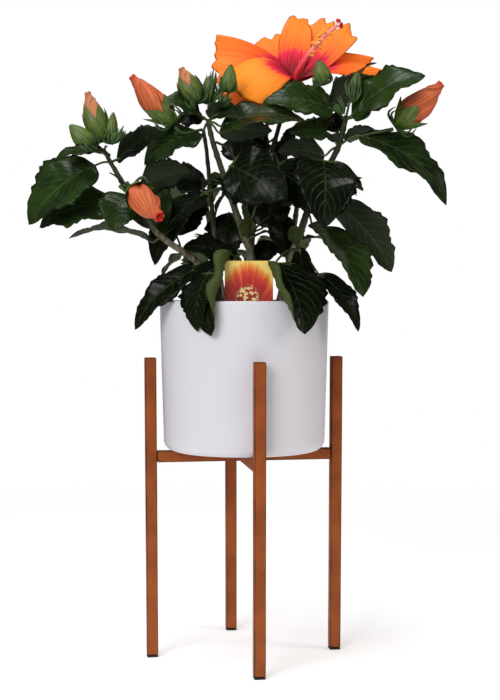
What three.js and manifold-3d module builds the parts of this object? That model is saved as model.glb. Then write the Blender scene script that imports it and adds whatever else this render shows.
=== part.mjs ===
// A patio hibiscus in a round pot, on a welded steel plant stand.
// Millimetres, +Z up. The model is laid out round the axis of the stand with its
// feet at height 0, and shifted at the end so that the origin lies at the middle
// of the underside of the whole object's box.

import * as THREE from 'three';
import { mergeVertices } from 'three/addons/utils/BufferGeometryUtils.js';
import Module from 'manifold-3d';

const wasm = await Module();
wasm.setup();

// ---------------------------------------------------------------- dimensions

const GAP = 0.3;                  // clearance left between neighbouring pieces

const STAND = {
  legCircle: 84,                  // stand axis to the middle of a leg
  turn: 8.8,                      // degrees that the cross is turned from the front
  tube: 10,                       // side of the square tube
  height: 270,                    // floor to the top of a leg
  railTop: 187,                   // floor to the top of the cross rails
  glide: 3,                       // height of the rubber foot
};

const POT = {
  radius: 75,                     // outer radius at the rim
  footRadius: 72,                 // outer radius above the bottom corner
  corner: 9,                      // radius of the bottom corner
  height: 133,
  wall: 4,
  lip: 1.5,                       // rounding of the rim
  facets: 32,
  soilDepth: 12,                  // rim down to the soil
};
const POT_BASE = STAND.railTop + GAP;
const RIM = POT_BASE + POT.height;
const SOIL = RIM - POT.soilDepth;

const LABEL = { width: 41, height: 100, thick: 1.2, corner: 3, buried: 54 };
const LABEL_PLACE = { x: 4, y: -60, lean: 4 };

const LIMB_SIDES = 6;
const LEAF_STATIONS = 5;
const LEAF_THICK = 3;
const STALK_RADIUS = 1.3;
const CORE_RADIUS = 9;            // the knot of shoots and leaf stalks at a hub
const EDGE_GROWTH = 6;            // a cutting copy of a blade grows this many gaps at its edge
const FACE_GROWTH = 3;            // and this many gaps on its faces

// ------------------------------------------------------------------ finishes

const finish = (color, roughness, metalness = 0) => ({ color, roughness, metalness });
const RUST_PAINT = finish(0x9a4f28, 0.55, 0.2);
const RUBBER = finish(0x17181a, 0.8);
const GLAZE = finish(0xeeeef2, 0.35);
const SOIL_MIX = finish(0x2b211b, 0.95);
const CARD = finish(0xd9643a, 0.4);
const BARK = finish(0x776b52, 0.8);
const GREEN_STEM = finish(0x5c6f36, 0.6);
const LEAF = finish(0x2c4426, 0.4);
const PETAL = finish(0xf09a4a, 0.5);
const COLUMN = finish(0xd8685c, 0.5);
const SEPAL = finish(0x6f9a3c, 0.55);
const BUD = finish(0xe0795a, 0.5);

// ------------------------------------------------------------ solid geometry

const plant = new THREE.Group();

function solidOf(geometry) {
  const bare = geometry.clone();
  for (const key of Object.keys(bare.attributes)) {
    if (key !== 'position') bare.deleteAttribute(key);
  }
  const merged = mergeVertices(bare, 1e-4);
  return new wasm.Manifold(new wasm.Mesh({
    numProp: 3,
    vertProperties: new Float32Array(merged.attributes.position.array),
    triVerts: new Uint32Array(merged.index.array),
  }));
}

function geometryOf(solid) {
  const mesh = solid.getMesh();
  const geometry = new THREE.BufferGeometry();
  geometry.setAttribute('position', new THREE.BufferAttribute(mesh.vertProperties, 3));
  geometry.setIndex(new THREE.BufferAttribute(mesh.triVerts, 1));
  return geometry;
}

function largestPart(solid) {
  return solid.decompose().reduce((a, b) => (b.volume() > a.volume() ? b : a));
}

function addNode(name, shape, look) {
  const geometry = shape.isBufferGeometry ? shape : geometryOf(shape);
  const mesh = new THREE.Mesh(geometry, new THREE.MeshStandardMaterial(look));
  mesh.name = name;
  plant.add(mesh);
}

const vec = (point) => new THREE.Vector3(...point);
const radians = THREE.MathUtils.degToRad;

function direction(heading, rise) {
  const flat = Math.cos(radians(rise));
  return new THREE.Vector3(
    flat * Math.cos(radians(heading)),
    flat * Math.sin(radians(heading)),
    Math.sin(radians(rise)),
  );
}

// A cylinder whose rings follow a smooth route. The first ring lies flat when
// level is set, so that a stem has a level cut at the soil.
function limb({ route, foot, tip, flare = 0, level = false, steps = 9, sides = LIMB_SIDES }, grow = 0) {
  const curve = new THREE.CatmullRomCurve3(route.map(vec), false, 'centripetal');
  const frames = curve.computeFrenetFrames(steps);
  const geometry = new THREE.CylinderGeometry(1, 1, 1, sides, steps);
  const place = geometry.attributes.position;
  const point = new THREE.Vector3();
  for (let i = 0; i < place.count; i += 1) {
    point.fromBufferAttribute(place, i);
    const t = point.y + 0.5;
    const ring = Math.round(t * steps);
    const swell = flare * Math.max(0, 1 - t * 4) ** 2;
    const radius = THREE.MathUtils.lerp(foot, tip, t) + swell + grow;
    const across = frames.normals[ring].clone();
    const along = frames.tangents[ring].clone();
    if (ring === 0 && level) {
      along.set(0, 0, 1);
      across.setZ(0).normalize();
    }
    const aside = new THREE.Vector3().crossVectors(along, across);
    curve.getPointAt(t)
      .addScaledVector(across, point.x * radius)
      .addScaledVector(aside, -point.z * radius)
      .addScaledVector(along, grow * Math.sign(t - 0.5) * Number(t === 0 || t === 1))
      .toArray(place.array, i * 3);
  }
  return solidOf(geometry);
}

// Half-widths along a blade, from its base at 0 to its tip at 1.
const OUTLINE = {
  leaf: (t) => Math.sin(Math.PI * t ** 0.75) ** 0.7,
  petal: (t) => Math.sin(Math.PI * t ** 1.6) ** 0.55,
};

// A thin blade with sharp edges: a four-sided sphere drawn out along a chord.
// arch bows the middle away from the chord and fold lifts both edges, each as a
// share of the length or the half-width; roll turns the blade about its chord.
function bladeFrame({ base, heading, rise, length, roll = 0, arch = 0.1 }) {
  const along = direction(heading, rise);
  const level = new THREE.Vector3(-Math.sin(radians(heading)), Math.cos(radians(heading)), 0);
  const across = level.clone().applyAxisAngle(along, radians(roll));
  const upward = new THREE.Vector3().crossVectors(along, across);
  const middle = (t) => base.clone()
    .addScaledVector(along, length * t)
    .addScaledVector(upward, arch * length * 4 * t * (1 - t));
  return { across, upward, middle };
}

function blade(spec, grow = 0) {
  const { width, fold = 0.15, thick = LEAF_THICK, outline = OUTLINE.leaf, stations = LEAF_STATIONS } = spec;
  const { across, upward, middle } = bladeFrame(spec);
  const geometry = new THREE.SphereGeometry(1, 4, stations);
  const place = geometry.attributes.position;
  const point = new THREE.Vector3();
  for (let i = 0; i < place.count; i += 1) {
    point.fromBufferAttribute(place, i);
    const ring = stations - Math.round(Math.acos(THREE.MathUtils.clamp(point.y, -1, 1)) / Math.PI * stations);
    const t = ring / stations;
    const spot = middle(t);
    if (ring === 0 || ring === stations) {
      const outward = spot.clone().sub(middle(ring === 0 ? 1 / stations : 1 - 1 / stations)).normalize();
      spot.addScaledVector(outward, grow * EDGE_GROWTH);
    } else {
      const reach = Math.hypot(point.x, point.z);
      const side = -Math.round(point.x / reach);
      const face = Math.round(point.z / reach);
      const half = outline(t) * width / 2 + grow * EDGE_GROWTH;
      const bulge = thick / 2 * Math.min(1, 0.4 + outline(t)) + grow * FACE_GROWTH;
      spot.addScaledVector(across, side * half);
      spot.addScaledVector(upward, face * bulge + Math.abs(side) * fold * half);
    }
    spot.toArray(place.array, i * 3);
  }
  return solidOf(geometry);
}

// A closed bud or flower part: a sphere drawn out from base to tip, thickest at
// the share of its length called belly.
function spindle({ base, tip, girth, belly = 0.4, sides = 8, stations = 6 }, grow = 0) {
  const start = vec(base);
  const axis = vec(tip).sub(start);
  const length = axis.length();
  const turn = new THREE.Quaternion().setFromUnitVectors(new THREE.Vector3(0, 1, 0), axis.normalize());
  const geometry = new THREE.SphereGeometry(1, sides, stations);
  const place = geometry.attributes.position;
  const point = new THREE.Vector3();
  const power = Math.log(0.5) / Math.log(belly);
  for (let i = 0; i < place.count; i += 1) {
    point.fromBufferAttribute(place, i);
    const t = (point.y + 1) / 2;
    const ring = Math.hypot(point.x, point.z) || 1;
    const radius = t > 1e-6 && t < 1 - 1e-6 ? Math.sin(Math.PI * t ** power) ** 0.8 * girth / 2 + grow : 0;
    point.set(point.x / ring * radius, t * length + grow * 2 * (2 * t - 1), point.z / ring * radius);
    point.applyQuaternion(turn).add(start).toArray(place.array, i * 3);
  }
  return solidOf(geometry);
}

// --------------------------------------------------------------------- stand

function buildStand() {
  const { legCircle, turn, tube, height, railTop, glide } = STAND;
  const turned = (geometry) => geometry.rotateZ(radians(turn));
  const legs = { front: -90, right: 0, back: 90, left: 180 };
  for (const [name, angle] of Object.entries(legs)) {
    const place = direction(angle, 0).multiplyScalar(legCircle);
    const legLength = height - glide - GAP;
    const leg = new THREE.BoxGeometry(tube, tube, legLength);
    leg.translate(place.x, place.y, glide + GAP + legLength / 2);
    addNode(`stand_leg_${name}`, turned(leg), RUST_PAINT);
    const foot = new THREE.BoxGeometry(tube, tube, glide);
    foot.translate(place.x, place.y, glide / 2);
    addNode(`stand_glide_${name}`, turned(foot), RUBBER);
  }
  const reach = legCircle - tube / 2 - GAP;
  const railMiddle = railTop - tube / 2;
  const through = new THREE.BoxGeometry(reach * 2, tube, tube).translate(0, 0, railMiddle);
  addNode('stand_rail_through', turned(through), RUST_PAINT);
  const halfLength = reach - tube / 2 - GAP;
  for (const [name, side] of [['front', -1], ['back', 1]]) {
    const half = new THREE.BoxGeometry(tube, halfLength, tube);
    half.translate(0, side * (reach - halfLength / 2), railMiddle);
    addNode(`stand_rail_${name}`, turned(half), RUST_PAINT);
  }
}

// ----------------------------------------------------------------------- pot

function potProfile() {
  const { radius, footRadius, corner, height, wall, lip } = POT;
  const shape = new THREE.Shape();
  shape.moveTo(0, 0);
  shape.lineTo(footRadius - corner, 0);
  shape.absarc(footRadius - corner, corner, corner, -Math.PI / 2, 0, false);
  shape.lineTo(radius, height - lip);
  shape.absarc(radius - lip, height - lip, lip, 0, Math.PI / 2, false);
  shape.lineTo(radius - wall, height);
  shape.lineTo(footRadius - wall, wall * 2);
  shape.lineTo(0, wall * 2);
  return shape.getPoints(2);
}

function lathe(points, base) {
  const geometry = new THREE.LatheGeometry(points, POT.facets);
  return solidOf(geometry.rotateX(Math.PI / 2).translate(0, 0, base));
}

function buildPot() {
  addNode('pot', lathe(potProfile(), POT_BASE), GLAZE);
}

// The soil stands clear of the wall and is cut round the label.
function buildSoil(label) {
  const { radius, footRadius, wall, height, soilDepth } = POT;
  const floor = wall * 2 + GAP;
  const top = height - soilDepth;
  const inside = (z) => THREE.MathUtils.lerp(footRadius, radius, z / height) - wall - GAP * 2;
  const profile = [[0, floor], [inside(floor), floor], [inside(top), top], [0, top]];
  const soil = lathe(profile.map(([r, z]) => new THREE.Vector2(r, z)), POT_BASE);
  addNode('potting_soil', soil.subtract(label), SOIL_MIX);
}

function labelSolid(grow = 0) {
  const { width, height, thick, corner } = LABEL;
  const half = width / 2 + grow;
  const shape = new THREE.Shape();
  shape.moveTo(-half, -grow);
  shape.lineTo(half, -grow);
  shape.lineTo(half, height - corner + grow);
  shape.absarc(half - corner, height - corner + grow, corner, 0, Math.PI / 2, false);
  shape.absarc(corner - half, height - corner + grow, corner, Math.PI / 2, Math.PI, false);
  const depth = thick + grow * 2;
  const card = new THREE.ExtrudeGeometry(shape, { depth, bevelEnabled: false, curveSegments: 3 });
  card.translate(0, 0, -depth / 2).rotateX(Math.PI / 2 - radians(LABEL_PLACE.lean));
  return solidOf(card.translate(LABEL_PLACE.x, LABEL_PLACE.y, SOIL - LABEL.buried));
}

// --------------------------------------------------------------------- limbs

const CUT = SOIL + GAP;           // level of the flat cut at the soil

const LIMBS = {
  stem_centre: {
    route: [[7, -5, CUT], [6, -8, 357], [0, -12, 376], [-13, -20, 414], [-27, -26, 456], [-31, -28, 474]],
    foot: 4, tip: 2, flare: 2, level: true,
  },
  stem_thin: {
    route: [[-22, 5, CUT], [-26, 5, 367], [-29, 2, 408], [-33, 2, 450], [-36, 4, 470]],
    foot: 2.6, tip: 1.6, flare: 1.5, level: true,
  },
  stem_right: {
    route: [[39, 0, CUT], [42, 0, 354], [49, -2, 378], [63, -6, 418], [81, -8, 451], [89, -10, 480]],
    foot: 4, tip: 2.2, flare: 2, level: true,
  },
  stem_left: {
    route: [
      [-19, -15, CUT], [-39, -28, 351], [-66, -38, 371], [-82, -40, 387], [-110, -36, 431], [-117, -35, 443],
    ],
    foot: 3.4, tip: 1.8, flare: 1.8, level: true,
  },
  stem_back_left: {
    route: [[-16, 30, CUT], [-25, 48, 350], [-32, 60, 390], [-38, 64, 420]],
    foot: 3.4, tip: 2, flare: 1.8, level: true,
  },
  stem_back_right: {
    route: [[30, 28, CUT], [40, 48, 350], [47, 60, 392], [52, 66, 430]],
    foot: 3.4, tip: 2, flare: 1.8, level: true,
  },
  bough_flower: {
    route: [[-9, -14, 417], [8, 4, 432], [22, 12, 446], [34, 18, 484], [41, 20, 496]],
    foot: 2.4, tip: 1.8,
  },
  bough_back: {
    route: [[6, -3, 362], [9, 14, 392], [16, 42, 430], [20, 54, 468], [22, 56, 490]],
    foot: 2.6, tip: 1.8,
  },
};

// ------------------------------------------------------------ bloom and buds

const CALYX_FOOT = [41, 20, 497];
const BLOOM_FOOT = [43, 16, 503];
const BLOOM_THROAT = [44, 12, 512];
const COLUMN_ROUTE = [[46, 7, 519], [60, 0, 536], [74, -4, 550], [86, -6, 560]];
const PETALS = [
  { heading: -120, rise: -22, length: 88, width: 80, roll: 0 },
  { heading: 172, rise: 24, length: 73, width: 64, roll: 46 },
  { heading: 65, rise: 58, length: 75, width: 70, roll: 10 },
  { heading: 30, rise: 30, length: 66, width: 54, roll: -34 },
  { heading: 0, rise: 8, length: 82, width: 62, roll: -40 },
];

const BUDS = {
  bud_left: {
    stalk: [[-36, -30, 466], [-52, -38, 462], [-59, -40, 467]],
    base: [-60, -40, 469], tip: [-96, -40, 510], girth: 25,
  },
  bud_right: {
    stalk: [[91, -12, 458], [106, -18, 463], [128, -25, 467]],
    base: [130, -25, 468], tip: [170, -25, 506], girth: 26,
  },
  bud_front: {
    stalk: [[-97, -50, 416], [-98, -58, 419], [-96, -64, 416]],
    base: [-95, -65, 415], tip: [-67, -86, 388], girth: 26,
  },
};

const SMALL_BUDS = {
  bud_small_left: { base: [-121, -34, 455], tip: [-134, -30, 498], girth: 16 },
  bud_small_left_inner: { base: [-114, -36, 453], tip: [-111, -38, 480], girth: 9 },
  bud_small_far_left: { base: [-128, -40, 448], tip: [-148, -42, 469], girth: 15 },
  bud_small_centre: { base: [-38, -31, 482], tip: [-54, -30, 518], girth: 25 },
  bud_small_top: { base: [-32, -24, 488], tip: [-30, -24, 522], girth: 20 },
  bud_small_bloom_left: { base: [-17, -36, 487], tip: [-11, -42, 519], girth: 13 },
  bud_small_bloom_right: { base: [70, -30, 498], tip: [63, -34, 524], girth: 13 },
  bud_small_right: { base: [94, -16, 494], tip: [98, -20, 522], girth: 16 },
};

// ------------------------------------------------------------------- foliage

// One row per leaf: the stalk's heading, rise and length from the hub, then the
// blade's heading, rise, length, width and roll.
const SPRAYS = {
  foliage_left_tip: { hub: [-113, -36, 438], leaves: [
    [-145, -12, 20, -175, -43, 72, 58, -48],
    [-115, 25, 16, -165, -8, 42, 22, -25],
    [50, 20, 6, 30, 30, 60, 28, -50],
  ] },
  foliage_left_middle: { hub: [-98, -39, 410], leaves: [
    [-165, -40, 14, 178, -12, 70, 44, -45],
    [-95, 0, 12, -110, -48, 42, 38, -15],
  ] },
  foliage_left_low: { hub: [-70, -38, 375], leaves: [
    [-150, -30, 14, 178, 8, 68, 34, 10],
    [90, 25, 20, 125, 48, 58, 40, -50],
  ] },
  foliage_centre_tip: { hub: [-31, -28, 473], leaves: [
    [-140, -60, 13, -165, -24, 57, 42, -35],
    [-155, 35, 8, -155, 20, 38, 26, -45],
    [-50, 25, 10, 5, 0, 30, 20, 40],
    [-35, -20, 14, -8, 4, 74, 44, 40],
    [-20, -45, 14, 0, 2, 46, 24, -60],
  ] },
  foliage_centre_fork: { hub: [-14, -20, 417], leaves: [
    [-85, 40, 28, -34, -26, 54, 50, 70],
    [150, -5, 20, -162, -50, 80, 52, -15],
    [125, 15, 36, 150, 12, 42, 28, -110],
  ] },
  foliage_right_middle: { hub: [66, -7, 424], leaves: [
    [-85, 35, 28, -94, -47, 74, 58, -10],
    [10, 0, 18, 20, -10, 34, 24, -20],
  ] },
  foliage_centre_low: { hub: [1, -11, 373], leaves: [
    [-20, 68, 68, -15, -42, 62, 46, 55],
    [35, 30, 22, 50, 55, 50, 40, 30],
    [120, 42, 38, -110, -75, 50, 36, 0],
    [30, 37, 40, -60, -75, 40, 30, 0],
  ] },
  foliage_right_tip: { hub: [88, -10, 476], leaves: [
    [-135, 25, 18, -162, 6, 62, 38, -60],
    [140, 65, 20, -10, 48, 38, 24, -35],
    [-50, 25, 8, -24, 27, 72, 50, 55],
    [-10, 75, 34, 20, 45, 26, 18, 0],
  ] },
  foliage_right_upper: { hub: [82, -8, 454], leaves: [
    [-30, 25, 22, -10, -36, 94, 48, 35],
    [40, 30, 12, 5, 25, 26, 16, -50],
    [-130, 35, 18, -165, 0, 36, 22, -60],
    [-140, -30, 18, 168, 6, 42, 28, 40],
  ] },
  foliage_right_low: { hub: [56, -4, 398], leaves: [
    [-20, 18, 28, 0, -50, 80, 46, -45],
    [-70, -50, 20, -51, -42, 90, 32, 0],
  ] },
  foliage_right_foot: { hub: [46, -1, 366], leaves: [
    [-112, -25, 30, -65, -50, 76, 46, 0],
    [-52, -38, 36, -24, -50, 62, 32, 25],
    [-75, 5, 10, 0, -68, 56, 26, 135],
  ] },
  foliage_skirt_front: { hub: [7, -6, 340], leaves: [
    [-125, 30, 42, -115, -56, 82, 54, 25],
    [-135, 28, 30, -160, 18, 44, 34, -40],
    [-132, 5, 56, -114, -62, 54, 34, 10],
  ] },
  foliage_skirt_left: { hub: [-30, -22, 340], leaves: [
    [-130, 35, 16, -174, -44, 74, 24, -50],
  ] },
};

// The far side of the crown: leaves follow one another round a bough by a fixed
// turn, each tier a little higher and smaller than the one below.
const TIERS = {
  foliage_back_left_low: { hub: [-28, 54, 366], count: 4, start: 30, turn: 42, rise: -20, reach: 68 },
  foliage_back_left_top: { hub: [-38, 64, 418], count: 4, start: 45, turn: 42, rise: -5, reach: 64 },
  foliage_back_right_low: { hub: [43, 53, 368], count: 3, start: 35, turn: 40, rise: 5, reach: 66 },
  foliage_back_right_top: { hub: [52, 66, 428], count: 4, start: 20, turn: 42, rise: -5, reach: 62 },
  foliage_back_middle: { hub: [15, 40, 426], count: 4, start: 30, turn: 42, rise: 0, reach: 72 },
  foliage_back_top: { hub: [22, 56, 488], count: 5, start: -15, turn: 52, rise: 18, reach: 66 },
};
const TIER_STALK = 0.3;           // share of a tier leaf's reach that is stalk
const TIER_WIDTH = 0.62;          // width of its blade over the blade's length
const TIER_LIFT = 20;             // degrees that its stalk rises above the tier
const TIER_DROOP = 15;            // degrees that its blade hangs below the tier
const SHORT_LEAF = 0.88;          // every second leaf is this much shorter

function tierLeaves({ count, start, turn, rise, reach }) {
  return Array.from({ length: count }, (_, i) => {
    const heading = start + i * turn;
    const length = reach * (1 - TIER_STALK) * (i % 2 ? SHORT_LEAF : 1);
    const droop = rise - TIER_DROOP;
    return [heading, rise + TIER_LIFT, reach * TIER_STALK, heading, droop, length, length * TIER_WIDTH, 0];
  });
}

function core(hub, grow) {
  return solidOf(new THREE.IcosahedronGeometry(CORE_RADIUS + grow, 0).translate(...hub));
}

// A spray is its knot, the leaf stalks and the leaf blades joined to one solid.
function spray({ hub, leaves }, grow) {
  const parts = [core(hub, grow)];
  for (const [sHeading, sRise, sLength, heading, rise, length, width, roll] of leaves) {
    const base = vec(hub).addScaledVector(direction(sHeading, sRise), sLength);
    const leaf = { base, heading, rise, length, width, roll };
    const buried = bladeFrame(leaf).middle(1 / LEAF_STATIONS).toArray();
    const stalk = { route: [hub, buried], foot: STALK_RADIUS, tip: STALK_RADIUS, steps: 1, sides: 3 };
    parts.push(limb(stalk, grow));
    parts.push(blade(leaf, grow));
  }
  return parts.reduce((a, b) => a.add(b));
}

// ------------------------------------------------------------------ assembly

buildStand();
buildPot();
buildSoil(labelSolid(GAP));
addNode('plant_label', labelSolid(), CARD);

// Each new piece is cut clear of everything already placed.
const placed = [labelSolid(GAP), lathe(potProfile(), POT_BASE)];

function place(name, make, look) {
  let solid = make(0);
  for (const other of placed) solid = solid.subtract(other);
  addNode(name, largestPart(solid), look);
  placed.push(make(GAP));
}

for (const [name, spec] of Object.entries(LIMBS)) {
  place(name, (grow) => limb(spec, grow), spec.level ? BARK : GREEN_STEM);
}

function petals(grow) {
  const parts = PETALS.map((petal) => blade({
    base: vec(BLOOM_THROAT), ...petal, arch: 0.12, fold: -0.12, thick: 4, outline: OUTLINE.petal, stations: 6,
  }, grow));
  const throat = { base: BLOOM_FOOT, tip: COLUMN_ROUTE[0], girth: 9, sides: 6 };
  return parts.reduce((a, b) => a.add(b), spindle(throat, grow));
}
place('bloom_petals', petals, PETAL);
place('bloom_column', (grow) => limb({ route: COLUMN_ROUTE, foot: 2.6, tip: 3.2, steps: 6 }, grow), COLUMN);
place('bloom_calyx', (grow) => spindle({ base: CALYX_FOOT, tip: BLOOM_THROAT, girth: 15 }, grow), SEPAL);

for (const [name, { stalk, ...bud }] of Object.entries(BUDS)) {
  place(name, (grow) => spindle(bud, grow), BUD);
  const pedicel = { route: stalk, foot: 1.6, tip: 1.6, steps: 5, sides: 5 };
  place(name.replace('bud', 'pedicel'), (grow) => limb(pedicel, grow), GREEN_STEM);
}
for (const [name, bud] of Object.entries(SMALL_BUDS)) {
  place(name, (grow) => spindle({ ...bud, belly: 0.35, sides: 6, stations: 5 }, grow), SEPAL);
}

for (const [name, spec] of Object.entries(SPRAYS)) place(name, (grow) => spray(spec, grow), LEAF);
for (const [name, tier] of Object.entries(TIERS)) {
  place(name, (grow) => spray({ ...tier, leaves: tierLeaves(tier) }, grow), LEAF);
}

// The origin goes to the middle of the underside of the whole object's box.
plant.updateMatrixWorld(true);
const whole = new THREE.Box3().setFromObject(plant, true);
plant.position.set(-(whole.min.x + whole.max.x) / 2, -(whole.min.y + whole.max.y) / 2, -whole.min.z);

export default plant;
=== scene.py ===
import logging
import math
import random
from collections.abc import Callable, Iterable, Sequence
from dataclasses import dataclass
from enum import Enum

import bmesh
import bpy
from mathutils import Matrix, Vector, noise


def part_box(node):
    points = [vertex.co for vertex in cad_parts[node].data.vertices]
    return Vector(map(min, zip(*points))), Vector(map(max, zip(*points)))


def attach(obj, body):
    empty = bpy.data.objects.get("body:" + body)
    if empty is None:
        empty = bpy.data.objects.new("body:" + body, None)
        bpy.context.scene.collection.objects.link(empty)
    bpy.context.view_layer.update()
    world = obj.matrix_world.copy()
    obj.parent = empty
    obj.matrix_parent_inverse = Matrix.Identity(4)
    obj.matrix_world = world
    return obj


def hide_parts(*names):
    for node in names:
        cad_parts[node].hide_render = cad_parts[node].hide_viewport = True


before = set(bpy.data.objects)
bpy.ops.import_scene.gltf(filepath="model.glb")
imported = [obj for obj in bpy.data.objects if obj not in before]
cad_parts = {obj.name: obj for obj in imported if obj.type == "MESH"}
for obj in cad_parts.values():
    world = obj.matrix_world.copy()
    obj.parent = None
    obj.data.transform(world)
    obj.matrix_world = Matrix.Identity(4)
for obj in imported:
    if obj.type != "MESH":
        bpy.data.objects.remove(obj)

log = logging.getLogger("patio_hibiscus")

MM = 0.001
BODY = "root"
SEED = 41
MERGE = 1e-6                       # corners closer than this become one
PATTERN = "pattern"                # map that runs across and along a leaf, petal or bud
DEAL = "deal"                      # map that holds a leaf's shade and which face it is
VEIN_STEP = 0.13                   # from one side vein to the next, as a share of a leaf
VEIN_LEAN, VEIN_BEND = 0.85, 1.2   # how a side vein leaves the midrib, and curves on towards the tip
GOLDEN_TURN = 0.382                # turn from one bract to the next, as a share of a circle

Surface = Callable[[float, float], Vector]
Colour = tuple[float, float, float, float]


# ---------------------------------------------------------------- placing

def pot_axis() -> Vector:
    """Return the foot of the pot's upright axis, on the floor."""
    low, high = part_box("pot")
    return Vector(((low.x + high.x) / 2, (low.y + high.y) / 2, 0.0))


AXIS = pot_axis()


def spot(point: Sequence[float]) -> Vector:
    """Return the place of a point given in millimetres from the pot's axis."""
    return AXIS + Vector(point) * MM


def direction(heading: float, rise: float) -> Vector:
    """Return the unit vector at a heading round the axis and a rise, in degrees."""
    flat = math.cos(math.radians(rise))
    turn = math.radians(heading)
    return Vector((flat * math.cos(turn), flat * math.sin(turn), math.sin(math.radians(rise))))


def blend(first: float, second: float, share: float) -> float:
    """Return the number a share of the way from first to second."""
    return first + (second - first) * share


def smooth_route(points: Sequence[Vector], count: int) -> list[Vector]:
    """Lay a smooth curve through points and walk it evenly.

    Args:
        points: The places that the curve passes, at least two.
        count: How many places to return.

    Returns:
        Evenly spaced places from the first point to the last.
    """
    steps = 10
    ends = [points[0] * 2 - points[1], *points, points[-1] * 2 - points[-2]]
    dense: list[Vector] = []
    for a, b, c, d in zip(ends, ends[1:], ends[2:], ends[3:]):
        for i in range(steps):
            t = i / steps
            dense.append(0.5 * (2 * b + (c - a) * t + (2 * a - 5 * b + 4 * c - d) * t ** 2
                                + (3 * b - a - 3 * c + d) * t ** 3))
    dense.append(points[-1].copy())
    walked = [0.0]
    for a, b in zip(dense, dense[1:]):
        walked.append(walked[-1] + (b - a).length)
    even: list[Vector] = []
    at = 0
    for i in range(count):
        goal = walked[-1] * i / (count - 1)
        while at < len(dense) - 2 and walked[at + 1] < goal:
            at += 1
        span = walked[at + 1] - walked[at] or 1.0
        even.append(dense[at].lerp(dense[at + 1], min(1.0, (goal - walked[at]) / span)))
    return even


def swelling(thin: float, belly: float, start: float, count: int) -> list[float]:
    """Return radii for a thin blade that swells and closes again to its tip.

    Args:
        thin: The radius at the tip, in millimetres.
        belly: How much thicker it is at its thickest, in millimetres.
        start: Where on the swell the foot is, from 0 to 1.
        count: How many radii.

    Returns:
        The radii, in metres.
    """
    return [(thin + belly * math.sin(math.pi * blend(start, 1.0, i / (count - 1)))) * MM
            for i in range(count)]


def square_to(axis: Vector) -> tuple[Vector, Vector]:
    """Return two unit vectors square to axis and to each other."""
    rough = Vector((0, 0, 1)) if abs(axis.z) < 0.9 else Vector((1, 0, 0))
    first = axis.cross(rough).normalized()
    return first, axis.cross(first).normalized()


def around(first: Vector, second: Vector, angle: float) -> Vector:
    """Return the unit vector at an angle, in radians, from first towards second."""
    return first * math.cos(angle) + second * math.sin(angle)


# ---------------------------------------------------------------- shader maths

class Wire:
    """One output of a shader node. Arithmetic on it adds Math nodes."""

    def __init__(self, recipe: "Recipe", socket: bpy.types.NodeSocket) -> None:
        """Keep the socket and the recipe that it belongs to."""
        self.recipe = recipe
        self.socket = socket

    def _math(self, operation: str, *terms: "Wire | float") -> "Wire":
        """Return the result of a Math node on the given terms."""
        return self.recipe.node("ShaderNodeMath", {"operation": operation}, dict(enumerate(terms)))

    def __add__(self, other: "Wire | float") -> "Wire":
        """Return the sum."""
        return self._math("ADD", self, other)

    __radd__ = __add__

    def __sub__(self, other: "Wire | float") -> "Wire":
        """Return the difference."""
        return self._math("SUBTRACT", self, other)

    def __rsub__(self, other: "Wire | float") -> "Wire":
        """Return other less this."""
        return self._math("SUBTRACT", other, self)

    def __mul__(self, other: "Wire | float") -> "Wire":
        """Return the product."""
        return self._math("MULTIPLY", self, other)

    def __truediv__(self, other: "Wire | float") -> "Wire":
        """Return the quotient."""
        return self._math("DIVIDE", self, other)

    def __abs__(self) -> "Wire":
        """Return the size without its sign."""
        return self._math("ABSOLUTE", self)

    def cycle(self) -> "Wire":
        """Return the part after the point, which runs from 0 to 1 over and over."""
        return self._math("FRACT", self)

    def larger(self, other: "Wire | float") -> "Wire":
        """Return the larger of the two."""
        return self._math("MAXIMUM", self, other)

    def step(self, low: "Wire | float", high: "Wire | float") -> "Wire":
        """Return 0 below low and 1 above high, with a soft rise between."""
        return self.recipe.node("ShaderNodeMapRange", {"interpolation_type": "SMOOTHSTEP"},
                                {0: self, 1: low, 2: high, 3: 0.0, 4: 1.0})


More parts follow.
